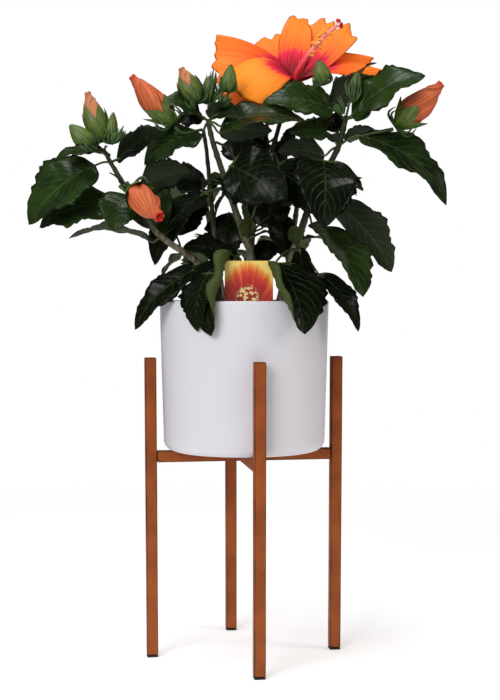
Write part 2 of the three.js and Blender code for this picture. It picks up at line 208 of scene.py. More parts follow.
class Recipe:
    """A material under construction, with one Principled surface."""

    def __init__(self, name: str) -> None:
        """Start an empty material of that name."""
        self.material = bpy.data.materials.new(name)
        self.material.use_nodes = True
        self.tree = self.material.node_tree
        self.tree.nodes.clear()
        self.shader = self.tree.nodes.new("ShaderNodeBsdfPrincipled")
        ending = self.tree.nodes.new("ShaderNodeOutputMaterial")
        self.tree.links.new(self.shader.outputs[0], ending.inputs[0])

    def connect(self, socket: bpy.types.NodeSocket, value: "Wire | float | Sequence[float]") -> None:
        """Link a wire to a socket, or set the socket's own value."""
        if isinstance(value, Wire):
            self.tree.links.new(value.socket, socket)
        else:
            socket.default_value = value

    def node(self, kind: str, settings: dict | None = None, inputs: dict | None = None,
             output: int | str = 0) -> Wire:
        """Add a node.

        Args:
            kind: The node's type.
            settings: Its own properties, set first; "stops" gives a ramp's positions and colours.
            inputs: A value or a wire for each socket, by number or name.
            output: The socket to return.

        Returns:
            The wire of that output.
        """
        made = self.tree.nodes.new(kind)
        for key, value in (settings or {}).items():
            if key == "stops":
                elements = made.color_ramp.elements
                while len(elements) < len(value):
                    elements.new(1.0)
                for element, (position, colour) in zip(elements, value):
                    element.position, element.color = position, colour
            else:
                setattr(made, key, value)
        for key, value in (inputs or {}).items():
            self.connect(made.inputs[key], value)
        return Wire(self, made.outputs[output])

    def mix(self, share: "Wire | float", first: "Wire | Colour", second: "Wire | Colour") -> Wire:
        """Return first turned towards second by share, in colour."""
        return self.node("ShaderNodeMix", {"data_type": "RGBA"}, {0: share, 6: first, 7: second}, 2)

    def ramp(self, value: Wire, stops: Sequence[tuple[float, Colour]]) -> Wire:
        """Return the colour that a ramp gives for value."""
        return self.node("ShaderNodeValToRGB", {"stops": stops}, {0: value})

    def here(self) -> Wire:
        """Return the place on the object, in metres."""
        return self.node("ShaderNodeTexCoord", output="Object")

    def height(self, place: Wire) -> Wire:
        """Return how high a place is, in metres."""
        return self.node("ShaderNodeSeparateXYZ", inputs={0: place}, output=2)

    def map(self, layer: str) -> tuple[Wire, Wire]:
        """Return the two coordinates of a map of the piece's own."""
        place = self.node("ShaderNodeUVMap", {"uv_map": layer})
        axes = [self.node("ShaderNodeSeparateXYZ", inputs={0: place}, output=i) for i in (0, 1)]
        return axes[0], axes[1]

    def vector(self, x: "Wire | float", y: "Wire | float", z: "Wire | float" = 0.0) -> Wire:
        """Return a vector of three numbers."""
        return self.node("ShaderNodeCombineXYZ", inputs={0: x, 1: y, 2: z})

    def grain(self, place: Wire, scale: float, detail: float = 3.0) -> Wire:
        """Return soft noise from 0 to 1, with scale cells to the unit."""
        return self.node("ShaderNodeTexNoise", inputs={"Vector": place, "Scale": scale, "Detail": detail})

    def cells(self, place: Wire, scale: float) -> Wire:
        """Return the distance to the nearest of many scattered points, in cells."""
        return self.node("ShaderNodeTexVoronoi", inputs={"Vector": place, "Scale": scale})

    def relief(self, height: Wire, depth: float, strength: float = 1.0) -> None:
        """Raise the surface by height times depth, in metres."""
        normal = self.node("ShaderNodeBump",
                           inputs={"Strength": strength, "Distance": depth, "Height": height})
        self.connect(self.shader.inputs["Normal"], normal)

    def finish(self, colour: "Wire | Colour", roughness: "Wire | float",
               **constants: float) -> bpy.types.Material:
        """Set the surface's colour, roughness and constant sockets, and return the material."""
        self.connect(self.shader.inputs["Base Color"], colour)
        self.connect(self.shader.inputs["Roughness"], roughness)
        for name, value in constants.items():
            self.shader.inputs[name.replace("_", " ")].default_value = value
        return self.material


def tint(code: str) -> Colour:
    """Return the linear colour of a six-figure colour code."""
    parts = [int(code[i:i + 2], 16) / 255 for i in (0, 2, 4)]
    linear = [c / 12.92 if c <= 0.04045 else ((c + 0.055) / 1.055) ** 2.4 for c in parts]
    return linear[0], linear[1], linear[2], 1.0


# ---------------------------------------------------------------- finishes

@dataclass(frozen=True)
class RustPaint:
    """Brown paint on steel, a little mottled, with fine dark specks."""

    bright: str = "954b18"
    deep: str = "823d12"
    speck: str = "33180c"

    def material(self) -> bpy.types.Material:
        """Build the paint."""
        r = Recipe("rust_paint")
        place = r.here()
        mottle = r.grain(place, 45.0, 5.0)
        colour = r.mix(mottle.step(0.30, 0.70), tint(self.bright), tint(self.deep))
        specks = 1 - r.cells(place, 420.0).step(0.10, 0.26)
        sparse = r.grain(place, 35.0).step(0.46, 0.60)
        colour = r.mix(specks * sparse * 0.75, colour, tint(self.speck))
        # darker on the bevelled edges, which the deal map marks
        dark_edge, _ = r.map(DEAL)
        colour = r.mix(dark_edge * (0.45 + sparse * 0.4), colour, tint(self.speck))
        r.relief(r.grain(place, 900.0, 2.0), 0.00012, 0.5)
        return r.finish(colour, 0.45 + mottle * 0.2, Specular_IOR_Level=0.25)


@dataclass(frozen=True)
class Plain:
    """A plain stuff with a faint mottle and a fine grain."""

    name: str
    light: str
    dark: str
    roughness: float
    scale: float = 40.0
    depth: float = 0.00005

    def material(self) -> bpy.types.Material:
        """Build the finish."""
        r = Recipe(self.name)
        place = r.here()
        mottle = r.grain(place, self.scale, 4.0)
        colour = r.mix(mottle.step(0.3, 0.7), tint(self.light), tint(self.dark))
        r.relief(r.grain(place, self.scale * 12, 2.0), self.depth, 0.5)
        return r.finish(colour, self.roughness + (mottle - 0.5) * 0.1)


@dataclass(frozen=True)
class PottingMix:
    """Dark crumbly potting soil with pale grit."""

    def material(self) -> bpy.types.Material:
        """Build the soil."""
        r = Recipe("potting_mix")
        place = r.here()
        crumb = r.grain(place, 260.0, 6.0)
        colour = r.ramp(crumb, [(0.3, tint("120d0a")), (0.55, tint("3a2b21")), (0.75, tint("5a4636"))])
        grit = 1 - r.cells(place, 170.0).step(0.08, 0.14)
        colour = r.mix(grit * 0.8, colour, tint("b9b1a4"))
        r.relief(crumb + r.cells(place, 320.0), 0.0012)
        return r.finish(colour, 0.95)


@dataclass(frozen=True)
class PrintedCard:
    """The glossy plant label: an abstract flower, yellow at the top and red below."""

    def material(self) -> bpy.types.Material:
        """Build the print."""
        r = Recipe("printed_card")
        across, up = r.map(PATTERN)
        back = r.map(DEAL)[1]
        off = across - 0.47
        fan = r.grain(r.vector(off / (up - 0.45) * 4, up * 1.2), 1.7, 3.0)
        height = up + off * off * 0.55 + (fan - 0.5) * 0.16
        colour = r.ramp(height, [
            (0.66, tint("8e0f18")), (0.84, tint("c01f1a")), (0.91, tint("d8471c")),
            (0.96, tint("e5922e")), (1.03, tint("ecd070")),
        ])
        colour = r.mix(fan.step(0.58, 0.66) * 0.3, colour, tint("f08a4a"))
        from_middle = r.node("ShaderNodeVectorMath", {"operation": "LENGTH"},
                             {0: r.vector(off, (up - 0.68) * 2.0)}, "Value")
        beads = 1 - r.cells(r.vector(across, up * 2.4), 15.0).step(0.38, 0.55)
        cluster = beads * (1 - from_middle.step(0.17, 0.27))
        colour = r.mix(cluster, colour, tint("f0dc92"))
        colour = r.mix(back, colour, tint("e9e6dc"))
        return r.finish(colour, 0.35 + back * 0.2, Coat_Weight=0.3)


@dataclass(frozen=True)
class Bark:
    """Young bark: green at the tip of a stem, olive and grey-brown below."""

    low: float
    high: float

    def material(self) -> bpy.types.Material:
        """Build the bark."""
        r = Recipe("bark")
        place = r.here()
        level = r.height(place)
        stretched = r.node("ShaderNodeMapping", inputs={"Vector": place, "Scale": (1.0, 1.0, 0.22)})
        streak = r.grain(stretched, 420.0, 4.0)
        patch = r.grain(place, 70.0, 3.0)
        age = (level - self.low) / (self.high - self.low) + (patch - 0.5) * 0.5
        old = r.mix(streak.step(0.35, 0.65), tint("4a4335"), tint("8b8168"))
        colour = r.mix(age.step(0.22, 0.70), old, tint("2b361a"))
        spots = 1 - r.cells(place, 330.0).step(0.08, 0.2)
        colour = r.mix(spots * 0.5, colour, tint("a79c80"))
        r.relief(streak + spots * 0.5, 0.0005)
        return r.finish(colour, 0.72)


class LeafTone(Enum):
    """How dark a spray's leaves are: top, upper mottle and underside. DEEP is a dark leaf tone deepened with
    painted shade, for leaves inside and behind the crown.
    """

    # painted shade: this near-black top is the leaves' own dark tone, darkened further as shade for leaves
    # inside and behind the crown
    DEEP = ("050903", "0c1407", "3f4c24")
    FULL = ("0f1b0a", "243812", "2c3624")


@dataclass(frozen=True)
class LeafSkin:
    """A leathery leaf: glossy and dark above, dull and greyer below, with pale veins."""

    age: LeafTone
    vein: str = "5c7436"

    def material(self) -> bpy.types.Material:
        """Build the leaf."""
        deep, mid, under = (tint(code) for code in self.age.value)
        r = Recipe(f"leaf_{self.age.name.lower()}")
        across, along = r.map(PATTERN)
        shade, below = r.map(DEAL)
        aside = abs(across - 0.5)
        branch = along - aside * VEIN_LEAN - aside * aside * VEIN_BEND
        row = abs((branch / VEIN_STEP).cycle() - 0.5)
        width = 0.07 - aside * 0.12
        ribs = 1 - row.step(width * 0.35, width + 0.05)
        midrib = 1 - aside.step(0.004, 0.016)
        net = r.cells(r.vector(across, along), 60.0)
        veins = midrib.larger(ribs * 0.75)
        place = r.here()
        cloud = r.grain(place, 55.0, 3.0)
        top = r.mix((cloud.step(0.3, 0.7) * 0.6 + shade * 0.5).step(0.0, 1.0), deep, mid)
        top = r.mix(veins * (0.14 if self.age is LeafTone.DEEP else 0.26), top, tint(self.vein))
        lower = r.mix(veins * 0.25, under, tint("7d8a5c"))
        colour = r.mix(below, top, lower)
        r.relief(1 - veins + net * 0.06, 0.0008, 0.8)
        rough = r.grain(place, 60.0, 2.0) * 0.14 + 0.2 + below * 0.35
        return r.finish(colour, rough, Specular_IOR_Level=0.15)


@dataclass(frozen=True)
class PetalSkin:
    """Thin orange petal: crimson eye with a streaked edge, yellower towards the rim."""

    def material(self) -> bpy.types.Material:
        """Build the petal."""
        r = Recipe("petal_skin")
        across, along = r.map(PATTERN)
        yellow, _ = r.map(DEAL)
        fan = r.grain(r.vector(across * 26, along * 1.1), 1.0, 3.0)
        fine = r.grain(r.vector(across * 70, along * 2.0), 1.0, 2.0)
        side = abs(across - 0.5) * 2
        reach = along * 0.86 + (fan - 0.5) * 0.28 + side * side * 0.14
        skin = r.mix((along + (fan - 0.5) * 0.5).step(0.25, 1.0), tint("ee4a0c"), tint("f87a22"))
        skin = r.mix(yellow * along.step(0.2, 0.8), skin, tint("f98c1c"))
        skin = r.mix(fine.step(0.52, 0.75) * 0.22, skin, tint("fb9a44"))
        eye = r.ramp(reach, [(0.0, tint("5a0010")), (0.20, tint("8c011c")), (0.31, tint("bc062a")),
                             (0.41, tint("e01e40")), (0.50, tint("f05c38"))])
        colour = r.mix(1 - reach.step(0.39, 0.49), skin, eye)
        pale = fine.step(0.58, 0.70) * (1 - abs(along - 0.22).step(0.04, 0.16))
        colour = r.mix(pale * 0.4, colour, tint("f4a9b4"))
        r.relief(fan + fine * 0.35, 0.0014, 0.8)
        return r.finish(colour, 0.6, Specular_IOR_Level=0.2)


@dataclass(frozen=True)
class BudSkin:
    """Furled petals of a bud: coral, redder at the tip, finely wrinkled."""

    def material(self) -> bpy.types.Material:
        """Build the furled petals."""
        r = Recipe("bud_skin")
        across, along = r.map(PATTERN)
        small, _ = r.map(DEAL)
        wrinkle = r.grain(r.vector(across * 60, along * 3.0), 1.0, 4.0)
        colour = r.mix(wrinkle.step(0.35, 0.65), tint("b24d28"), tint("d27140"))
        seam = abs((across * 5).cycle() - 0.5).step(0.38, 0.5)
        colour = r.mix(seam * 0.6, colour, tint("9c3620"))
        colour = r.mix((along + (wrinkle - 0.5) * 0.2).step(0.74, 0.88), colour, tint("d62a1a"))
        colour = r.mix(small * 0.7, colour, tint("bd8258"))
        whorl = abs((across * 5 + along * 9).cycle() - 0.5).step(0.3, 0.5) * (along - 0.84).step(0.0, 0.02)
        colour = r.mix(whorl, colour, tint("7d0f0e"))
        r.relief(wrinkle - whorl, 0.0008)
        return r.finish(colour, 0.55, Specular_IOR_Level=0.3)


@dataclass(frozen=True)
class SepalSkin:
    """Green sepals with faint ribs, paler at their foot."""

    def material(self) -> bpy.types.Material:
        """Build the sepals."""
        r = Recipe("sepal_skin")
        across, along = r.map(PATTERN)
        ribs = r.grain(r.vector(across * 40, along * 2.0), 1.0, 3.0)
        colour = r.mix(ribs.step(0.35, 0.65), tint("3f5516"), tint("647628"))
        colour = r.mix(along.step(0.6, 1.0) * 0.4, colour, tint("35551c"))
        r.relief(ribs, 0.0004)
        return r.finish(colour, 0.5)


@dataclass(frozen=True)
class ColumnSkin:
    """The flower's column: red in the throat, salmon pink towards the tip."""

    def material(self) -> bpy.types.Material:
        """Build the column."""
        low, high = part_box("bloom_column")
        r = Recipe("column_skin")
        place = r.here()
        level = r.height(place)
        share = (level - low.z) / (high.z - low.z)
        colour = r.ramp(share, [(0.0, tint("cf1220")), (0.3, tint("ee4a58")), (0.55, tint("f79c98")),
                                (1.0, tint("f58a76"))])
        r.relief(r.grain(place, 500.0), 0.0003)
        return r.finish(colour, 0.45)


# ---------------------------------------------------------------- shapes

def shape() -> bmesh.types.BMesh:
    """Return an empty mesh that has the two maps."""
    bm = bmesh.new()
    bm.loops.layers.uv.new(PATTERN)
    bm.loops.layers.uv.new(DEAL)
    return bm


def thicken(bm: bmesh.types.BMesh, body: bmesh.types.BMLayerItem, thick: float, shade: float) -> None:
    """Give a one-faced sheet a second face below it.

    Args:
        bm: The sheet, which is changed.
        body: The layer that holds each corner's share of the thickness.
        thick: The thickness where that share is 1.
        shade: Number that the deal map holds.
    """
    deal = bm.loops.layers.uv[DEAL]
    upper = list(bm.verts)
    copy = bmesh.ops.duplicate(bm, geom=[*bm.verts, *bm.edges, *bm.faces])["geom"]
    under = [item for item in copy if isinstance(item, bmesh.types.BMFace)]
    bmesh.ops.reverse_faces(bm, faces=under)
    for face in under:
        for loop in face.loops:
            loop[deal].uv = (shade, 1.0)
    lower = [item for item in copy if isinstance(item, bmesh.types.BMVert)]
    shifts = [(v, v.normal * v[body] * thick / 2) for v in upper]
    for (vert, shift), twin in zip(shifts, sorted(lower, key=lambda v: v.index)):
        twin.co = vert.co - shift
        vert.co = vert.co + shift
    bmesh.ops.remove_doubles(bm, verts=bm.verts, dist=MERGE)
    bm.normal_update()


def sheet(surface: Surface, columns: int, rows: int, thick: float = 0.0, shade: float = 0.5,
          scale: float = 0.5) -> bmesh.types.BMesh:
    """Make a body from a grid that is bent to a surface.

    Args:
        surface: Gives a place for across, from -1 to 1, and along, from 0 to 1.
        columns: Faces across.
        rows: Faces along.
        thick: Thickness in the middle of a two-faced body with a sharp rim, or 0 for one face.
        shade: Number that the deal map holds.
        scale: Width of the pattern map on either side of its middle.

    Returns:
        The body, with its doubles merged.
    """
    bm = shape()
    pattern, deal = (bm.loops.layers.uv[name] for name in (PATTERN, DEAL))
    body = bm.verts.layers.float.new("body")
    bmesh.ops.create_grid(bm, x_segments=columns, y_segments=rows, size=0.5)
    for face in bm.faces:
        face.smooth = True
        for loop in face.loops:
            place = loop.vert.co
            loop[pattern].uv = (0.5 + place.x * 2 * scale, place.y + 0.5)
            loop[deal].uv = (shade, 0.0)
    for vert in bm.verts:
        across, along = vert.co.x * 2, vert.co.y + 0.5
        vert[body] = max(0.0, min(1.0, 4 * (1 - abs(across)), 8 * along, 8 * (1 - along)))
        vert.co = surface(across, along)
    bmesh.ops.remove_doubles(bm, verts=bm.verts, dist=MERGE)
    bm.normal_update()
    if thick:
        thicken(bm, body, thick, shade)
    return bm


def spun(profile: Sequence[tuple[float, float]], steps: int) -> bmesh.types.BMesh:
    """Spin a profile of radius and height, in metres, about the pot's axis."""
    bm = shape()
    verts = [bm.verts.new(AXIS + Vector((radius, 0.0, height))) for radius, height in profile]
    edges = [bm.edges.new(pair) for pair in zip(verts, verts[1:])]
    bmesh.ops.spin(bm, geom=[*verts, *edges], cent=AXIS, axis=(0, 0, 1), angle=math.tau,
                   steps=steps, use_merge=True)
    bmesh.ops.remove_doubles(bm, verts=bm.verts, dist=MERGE)
    bmesh.ops.recalc_face_normals(bm, faces=bm.faces)
    for face in bm.faces:
        face.smooth = True
    return bm


class Cluster:
    """Many small bodies that become one piece."""

    def __init__(self) -> None:
        """Start with nothing."""
        self.bm = shape()

    def absorb(self, body: bmesh.types.BMesh) -> None:
        """Add a body and free it."""
        mesh = bpy.data.meshes.new("part")
        body.to_mesh(mesh)
        body.free()
        self.absorb_mesh(mesh)

    def absorb_mesh(self, mesh: bpy.types.Mesh) -> None:
        """Add a mesh and remove it."""
        self.bm.from_mesh(mesh)
        bpy.data.meshes.remove(mesh)

    def piece(self, name: str, material: bpy.types.Material, slot: str,
              nodes: Iterable[str] = ()) -> bpy.types.Object:
        """Make the piece, ride it on the plant's body and let it stand for CAD nodes.

        Args:
            name: The piece's name.
            material: Its material.
            slot: Not used.
            nodes: The CAD nodes that it stands for.

        Returns:
            The finished object.
        """
        mesh = bpy.data.meshes.new(name)
        self.bm.to_mesh(mesh)
        self.bm.free()
        for polygon in mesh.polygons:
            polygon.use_smooth = True
        mesh.materials.append(material)
        made = bpy.data.objects.new(name, mesh)
        bpy.context.scene.collection.objects.link(made)
        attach(made, BODY)
        if nodes:
            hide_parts(*nodes)
        log.info("%s: %d faces", name, len(mesh.polygons))
        return made


def single(body: bmesh.types.BMesh, name: str, material: bpy.types.Material, slot: str,
           nodes: Iterable[str] = ()) -> bpy.types.Object:
    """Return a piece made of one body, with the arguments of Cluster.piece."""
    cluster = Cluster()
    cluster.absorb(body)
    return cluster.piece(name, material, slot, nodes)


def ball(place: Vector, radius: float, subdivisions: int) -> bmesh.types.BMesh:
    """Return a faceted ball."""
    bm = shape()
    bmesh.ops.create_icosphere(bm, subdivisions=subdivisions, radius=radius)
    bmesh.ops.translate(bm, verts=bm.verts, vec=place)
    return bm


class Strands:
    """Round shoots, stalks and hairs of any number, drawn as one tapering curve."""

    def __init__(self, roundness: int = 1) -> None:
        """Start an empty curve; roundness 0 gives 4 sides, 1 gives 6, 2 gives 8."""
        self.curve = bpy.data.curves.new("strands", "CURVE")
        self.curve.dimensions = "3D"
        self.curve.bevel_depth = 1.0
        self.curve.bevel_resolution = roundness
        self.curve.use_fill_caps = True

    def add(self, route: Sequence[Vector], radii: Sequence[float]) -> None:
        """Add one strand through the places of route, with a radius at each."""
        spline = self.curve.splines.new("POLY")
        spline.points.add(len(route) - 1)
        for point, place, radius in zip(spline.points, route, radii):
            point.co = (*place, 1.0)
            point.radius = radius

    def taper(self, points: Sequence[Vector], count: int, foot: float, tip: float) -> None:
        """Add a smooth strand of count places that tapers from foot to tip."""
        route = smooth_route(points, count)
        self.add(route, [blend(foot, tip, i / (count - 1)) for i in range(count)])

    def mesh(self) -> bpy.types.Mesh:
        """Return the strands as a mesh, and drop the curve."""
        holder = bpy.data.objects.new("strands", self.curve)
        bpy.context.scene.collection.objects.link(holder)
        depsgraph = bpy.context.evaluated_depsgraph_get()
        made = bpy.data.meshes.new_from_object(holder.evaluated_get(depsgraph))
        bpy.data.objects.remove(holder)
        bpy.data.curves.remove(self.curve)
        return made

    def piece(self, name: str, material: bpy.types.Material, slot: str,
              nodes: Iterable[str] = ()) -> bpy.types.Object:
        """Return a piece made of the strands, with the arguments of Cluster.piece."""
        cluster = Cluster()
        cluster.absorb_mesh(self.mesh())
        return cluster.piece(name, material, slot, nodes)


# ---------------------------------------------------------------- the stand

@dataclass
class Stand:
    """Four square legs and a cross of rails, on rubber feet.

    sleeve is how far a leg's tube reaches down over its rubber foot.
    """

    tube: float = 10 * MM
    bevel: float = 0.9 * MM
    plug_inset: float = 1.1 * MM
    plug_rise: float = 0.5 * MM
    sleeve: float = 1.1 * MM

    def turn(self) -> float:
        """Return how far the cross is turned, in radians."""
        right, left = (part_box(f"stand_leg_{side}") for side in ("right", "left"))
        across = (right[0] + right[1] - left[0] - left[1]) / 2
        return math.atan2(across.y, across.x)

    def bar(self, node: str, across: float, along: float, capped: bool) -> bmesh.types.BMesh:
        """Make a bevelled bar in a node's place.

        Args:
            node: The CAD node.
            across: Its size along the turned X axis.
            along: Its size along the turned Y axis.
            capped: Whether its top carries a low plug.

        Returns:
            The bar.
        """
        low, high = (Vector(end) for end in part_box(node))
        if "leg" in node:
            low.z -= self.sleeve
        elif "glide" in node:
            high.z -= self.sleeve                  # the foot ends where the leg's tube now does
        bm = shape()
        bmesh.ops.create_cube(bm, size=1.0)
        scale = Matrix.Diagonal((across, along, high.z - low.z, 1.0))
        place = Matrix.Translation((low + high) / 2) @ Matrix.Rotation(self.turn(), 4, "Z") @ scale
        bmesh.ops.transform(bm, matrix=place, verts=bm.verts)
        bmesh.ops.bevel(bm, geom=bm.edges[:], offset=self.bevel, affect="EDGES", segments=3, profile=0.5,
                        material=-1, offset_type="OFFSET")
        bm.normal_update()
        deal = bm.loops.layers.uv[DEAL]
        sides = [place.col[i].to_3d().normalized() for i in range(3)]
        for face in bm.faces:
            # mark the bevel faces, which the paint makes darker
            dark_edge = max(abs(face.normal.dot(side)) for side in sides) < 0.99
            for loop in face.loops:
                loop[deal].uv = (float(dark_edge), 0.0)
        if capped:
            top = max(bm.faces, key=lambda face: (round(face.calc_center_median().z, 6), face.calc_area()))
            bmesh.ops.inset_individual(bm, faces=[top], thickness=self.plug_inset, depth=0.0)
            bmesh.ops.translate(bm, verts=top.verts, vec=(0, 0, -self.plug_rise))
        return bm

    def build(self) -> None:
        """Build the legs, the rails and the feet."""
        paint = RustPaint().material()
        rubber = Plain("foot_rubber", "1c1d1f", "0f1011", 0.8).material()
        tube = self.tube
        for side in ("front", "right", "back", "left"):
            leg, glide = f"stand_leg_{side}", f"stand_glide_{side}"
            single(self.bar(leg, tube, tube, True), f"leg_{side}", paint, "stand_paint", [leg])
            single(self.bar(glide, tube, tube, False), f"foot_{side}", rubber, "foot_rubber", [glide])
        cosine = math.cos(self.turn())
        sine = math.sin(self.turn())
        for name in ("through", "front", "back"):
            node = f"stand_rail_{name}"
            low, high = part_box(node)
            size = high - low
            if name == "through":
                across, along = (size.x - tube * sine) / cosine, tube
            else:
                across, along = tube, (size.y - tube * sine) / cosine
            single(self.bar(node, across, along, False), f"rail_{name}", paint, "stand_paint", [node])


# ---------------------------------------------------------------- the pot

@dataclass
class Pot:
    """A smooth white pot with a rounded bottom corner, its soil and its label.

    hollow is how far the middle of the underside stands clear of the rail, and
    scattered the share of the soil's radius that the chips reach.
    """

    hollow: float = 1.2 * MM
    steps: int = 96
    wall: float = 4 * MM
    corner: float = 9 * MM
    lip: float = 1.5 * MM
    draft: float = 3 * MM
    soil_rings: int = 22
    chips: int = 150
    scattered: float = 0.94

    def arc(self, radius: float, centre: tuple[float, float], start: float, end: float,
            count: int) -> list[tuple[float, float]]:
        """Return count + 1 places on an arc, with its angles in degrees."""
        angles = [math.radians(blend(start, end, i / count)) for i in range(count + 1)]
        return [(centre[0] + radius * math.cos(a), centre[1] + radius * math.sin(a)) for a in angles]

    def pot(self) -> None:
        """Spin the pot."""
        low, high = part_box("pot")
        radius = (high.x - low.x) / 2
        foot = radius - self.draft
        base, rim = low.z, high.z
        raised = base + self.hollow
        profile = [(0.0, raised), (foot - self.corner - 6 * MM, raised)]
        profile += self.arc(self.hollow, (foot - self.corner - 2 * MM, raised), 180, 270, 4)
        profile += self.arc(self.corner, (foot - self.corner, base + self.corner), -90, 0, 10)
        profile += [(blend(foot, radius, i / 8), blend(base + self.corner, rim - self.lip, i / 8))
                    for i in range(1, 8)]
        profile += self.arc(self.lip, (radius - self.lip, rim - self.lip), 0, 90, 5)
        profile += self.arc(self.lip, (radius - self.wall + self.lip, rim - self.lip), 90, 180, 5)
        profile += [(foot - self.wall, base + 2 * self.wall), (0.0, base + 2 * self.wall)]
        glaze = Plain("pot_glaze", "d3d2d8", "cecdd4", 0.42, 9.0, 0.00004).material()
        single(spun(profile, self.steps), "pot_shell", glaze, "pot_glaze", ["pot"])

    def soil(self, rng: random.Random) -> None:
        """Spin the soil, make its top uneven and lay chips on it."""
        low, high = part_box("potting_soil")
        radius = (high.x - low.x) / 2
        rings = [(radius * (1 - i / self.soil_rings), high.z) for i in range(self.soil_rings)]
        profile = [(0.0, low.z), (radius - self.draft, low.z), *rings, (0.0, high.z)]
        bm = spun(profile, self.steps)
        for vert in bm.verts:
            if vert.co.z > high.z - MM:
                rough = noise.noise(vert.co * 90) * 2.2 + noise.noise(vert.co * 300) * 1.1
                vert.co.z += (rough - 1.5) * MM
        single(bm, "soil", PottingMix().material(), "soil", ["potting_soil"])
        self.scatter(radius * self.scattered, high.z, rng)

    def scatter(self, radius: float, top: float, rng: random.Random) -> None:
        """Lay flat chips of bark on the soil, within a radius and at a height."""
        chips = Cluster()
        for _ in range(self.chips):
            reach = radius * math.sqrt(rng.random())
            place = AXIS + direction(rng.uniform(0, 360), 0) * reach
            place.z = top - rng.uniform(0.4, 1.6) * MM
            size = Vector((rng.uniform(2, 6), rng.uniform(1, 2.6), rng.uniform(0.6, 1.4))) * MM
            chip = shape()
            bmesh.ops.create_icosphere(chip, subdivisions=1, radius=0.5)
            spin, tilt = rng.uniform(0, math.tau), rng.uniform(-0.4, 0.4)
            turn = Matrix.Rotation(spin, 4, "Z") @ Matrix.Rotation(tilt, 4, "X")
            bmesh.ops.transform(chip, matrix=Matrix.Translation(place) @ turn @ Matrix.Diagonal((*size, 1.0)),
                                verts=chip.verts)
            chips.absorb(chip)
        bark = Plain("bark_chips", "6b4a33", "2e1e15", 0.9, 200.0, 0.0003).material()
        chips.piece("soil_chips", bark, "soil")

    def label(self) -> None:
        """Build the label, leaning back a little, with rounded top corners."""
        low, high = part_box("plant_label")
        lean = math.atan2(high.y - low.y, high.z - low.z)
        width, height, thick = high.x - low.x, (high - low).yz.length, 1.2 * MM
        bm = shape()
        pattern, deal = (bm.loops.layers.uv[name] for name in (PATTERN, DEAL))
        bmesh.ops.create_grid(bm, x_segments=1, y_segments=1, size=0.5)
        bmesh.ops.transform(bm, matrix=Matrix.Diagonal((width, height, 1, 1)), verts=bm.verts)
        corners = [vert for vert in bm.verts if vert.co.y > 0]
        bmesh.ops.bevel(bm, geom=corners, offset=3 * MM, offset_type="OFFSET", affect="VERTICES",
                        segments=6, profile=0.5, material=-1)
        bmesh.ops.reverse_faces(bm, faces=[f for f in bm.faces if f.normal.z < 0])
        front = list(bm.faces)
        made = bmesh.ops.extrude_face_region(bm, geom=front)["geom"]
        lifted = [item for item in made if isinstance(item, bmesh.types.BMVert)]
        bmesh.ops.translate(bm, verts=lifted, vec=(0, 0, thick))
        bmesh.ops.recalc_face_normals(bm, faces=bm.faces)
        for face in bm.faces:
            for loop in face.loops:
                place = loop.vert.co
                loop[pattern].uv = (place.x / width + 0.5, place.y / height + 0.5)
                loop[deal].uv = (0.5, 0.0 if face.normal.z > 0.5 else 1.0)
        middle = (low + high) / 2
        turn = Matrix.Rotation(math.pi / 2 - lean, 4, "X")
        centred = Matrix.Translation((0, 0, -thick / 2))
        bmesh.ops.transform(bm, matrix=Matrix.Translation(middle) @ turn @ centred, verts=bm.verts)
        card = single(bm, "label", PrintedCard().material(), "label_card", ["plant_label"])
        for polygon in card.data.polygons:
            polygon.use_smooth = False

    def build(self, rng: random.Random) -> None:
        """Build the pot, the soil and the label."""
        self.pot()
        self.soil(rng)
        self.label()


# ---------------------------------------------------------------- limbs

@dataclass(frozen=True)
class Limb:
    """A stem or bough that tapers along a smooth route, given in millimetres from the axis.

    ring_step is the distance between its rings, node_step that between its leaf
    scars, swell how much thicker it is at one, and sink how far a stem's foot
    reaches below the top of the soil.
    """

    name: str
    route: tuple[tuple[float, float, float], ...]
    foot: float
    tip: float
    flare: float = 0.0
    node_step: float = 19.0
    relief: float = 0.28
    ring_step: float = 1.5
    swell: float = 0.16
    sink: float = 3.0

    def radius(self, share: float) -> float:
        """Return the radius at a share of the length, in millimetres."""
        return blend(self.foot, self.tip, share) + self.flare * max(0.0, 1 - share * 4) ** 2

    def build(self, rng: random.Random, skin: bpy.types.Material) -> None:
        """Build the limb with leaf scars, ridges and a rough skin."""
        places = [spot(point) for point in self.route]
        length = sum((b - a).length for a, b in zip(places, places[1:]))
        count = int(length / (self.ring_step * MM))
        route = smooth_route(places, count)
        if self.flare:
            route[0] = route[0] - Vector((0, 0, self.sink * MM))
        phase = rng.uniform(0, self.node_step)
        radii = []
        for i in range(count):
            walked = i / (count - 1) * length / MM + phase
            from_node = (walked % self.node_step) / self.node_step
            swell = self.swell * math.exp(-((from_node - 0.5) * 14) ** 2)
            radii.append(self.radius(i / (count - 1)) * (1 + swell) * MM)
        strands = Strands(6)
        strands.add(route, radii)
        cluster = Cluster()
        cluster.absorb_mesh(strands.mesh())
        cluster.bm.normal_update()
        for vert in cluster.bm.verts:
            where = Vector((vert.co.x * 900, vert.co.y * 900, vert.co.z * 160))
            vert.co += vert.normal * noise.noise(where) * self.relief * MM
        cluster.piece(f"{self.name}_bark", skin, "bark" if self.flare else "green_stem", [self.name])


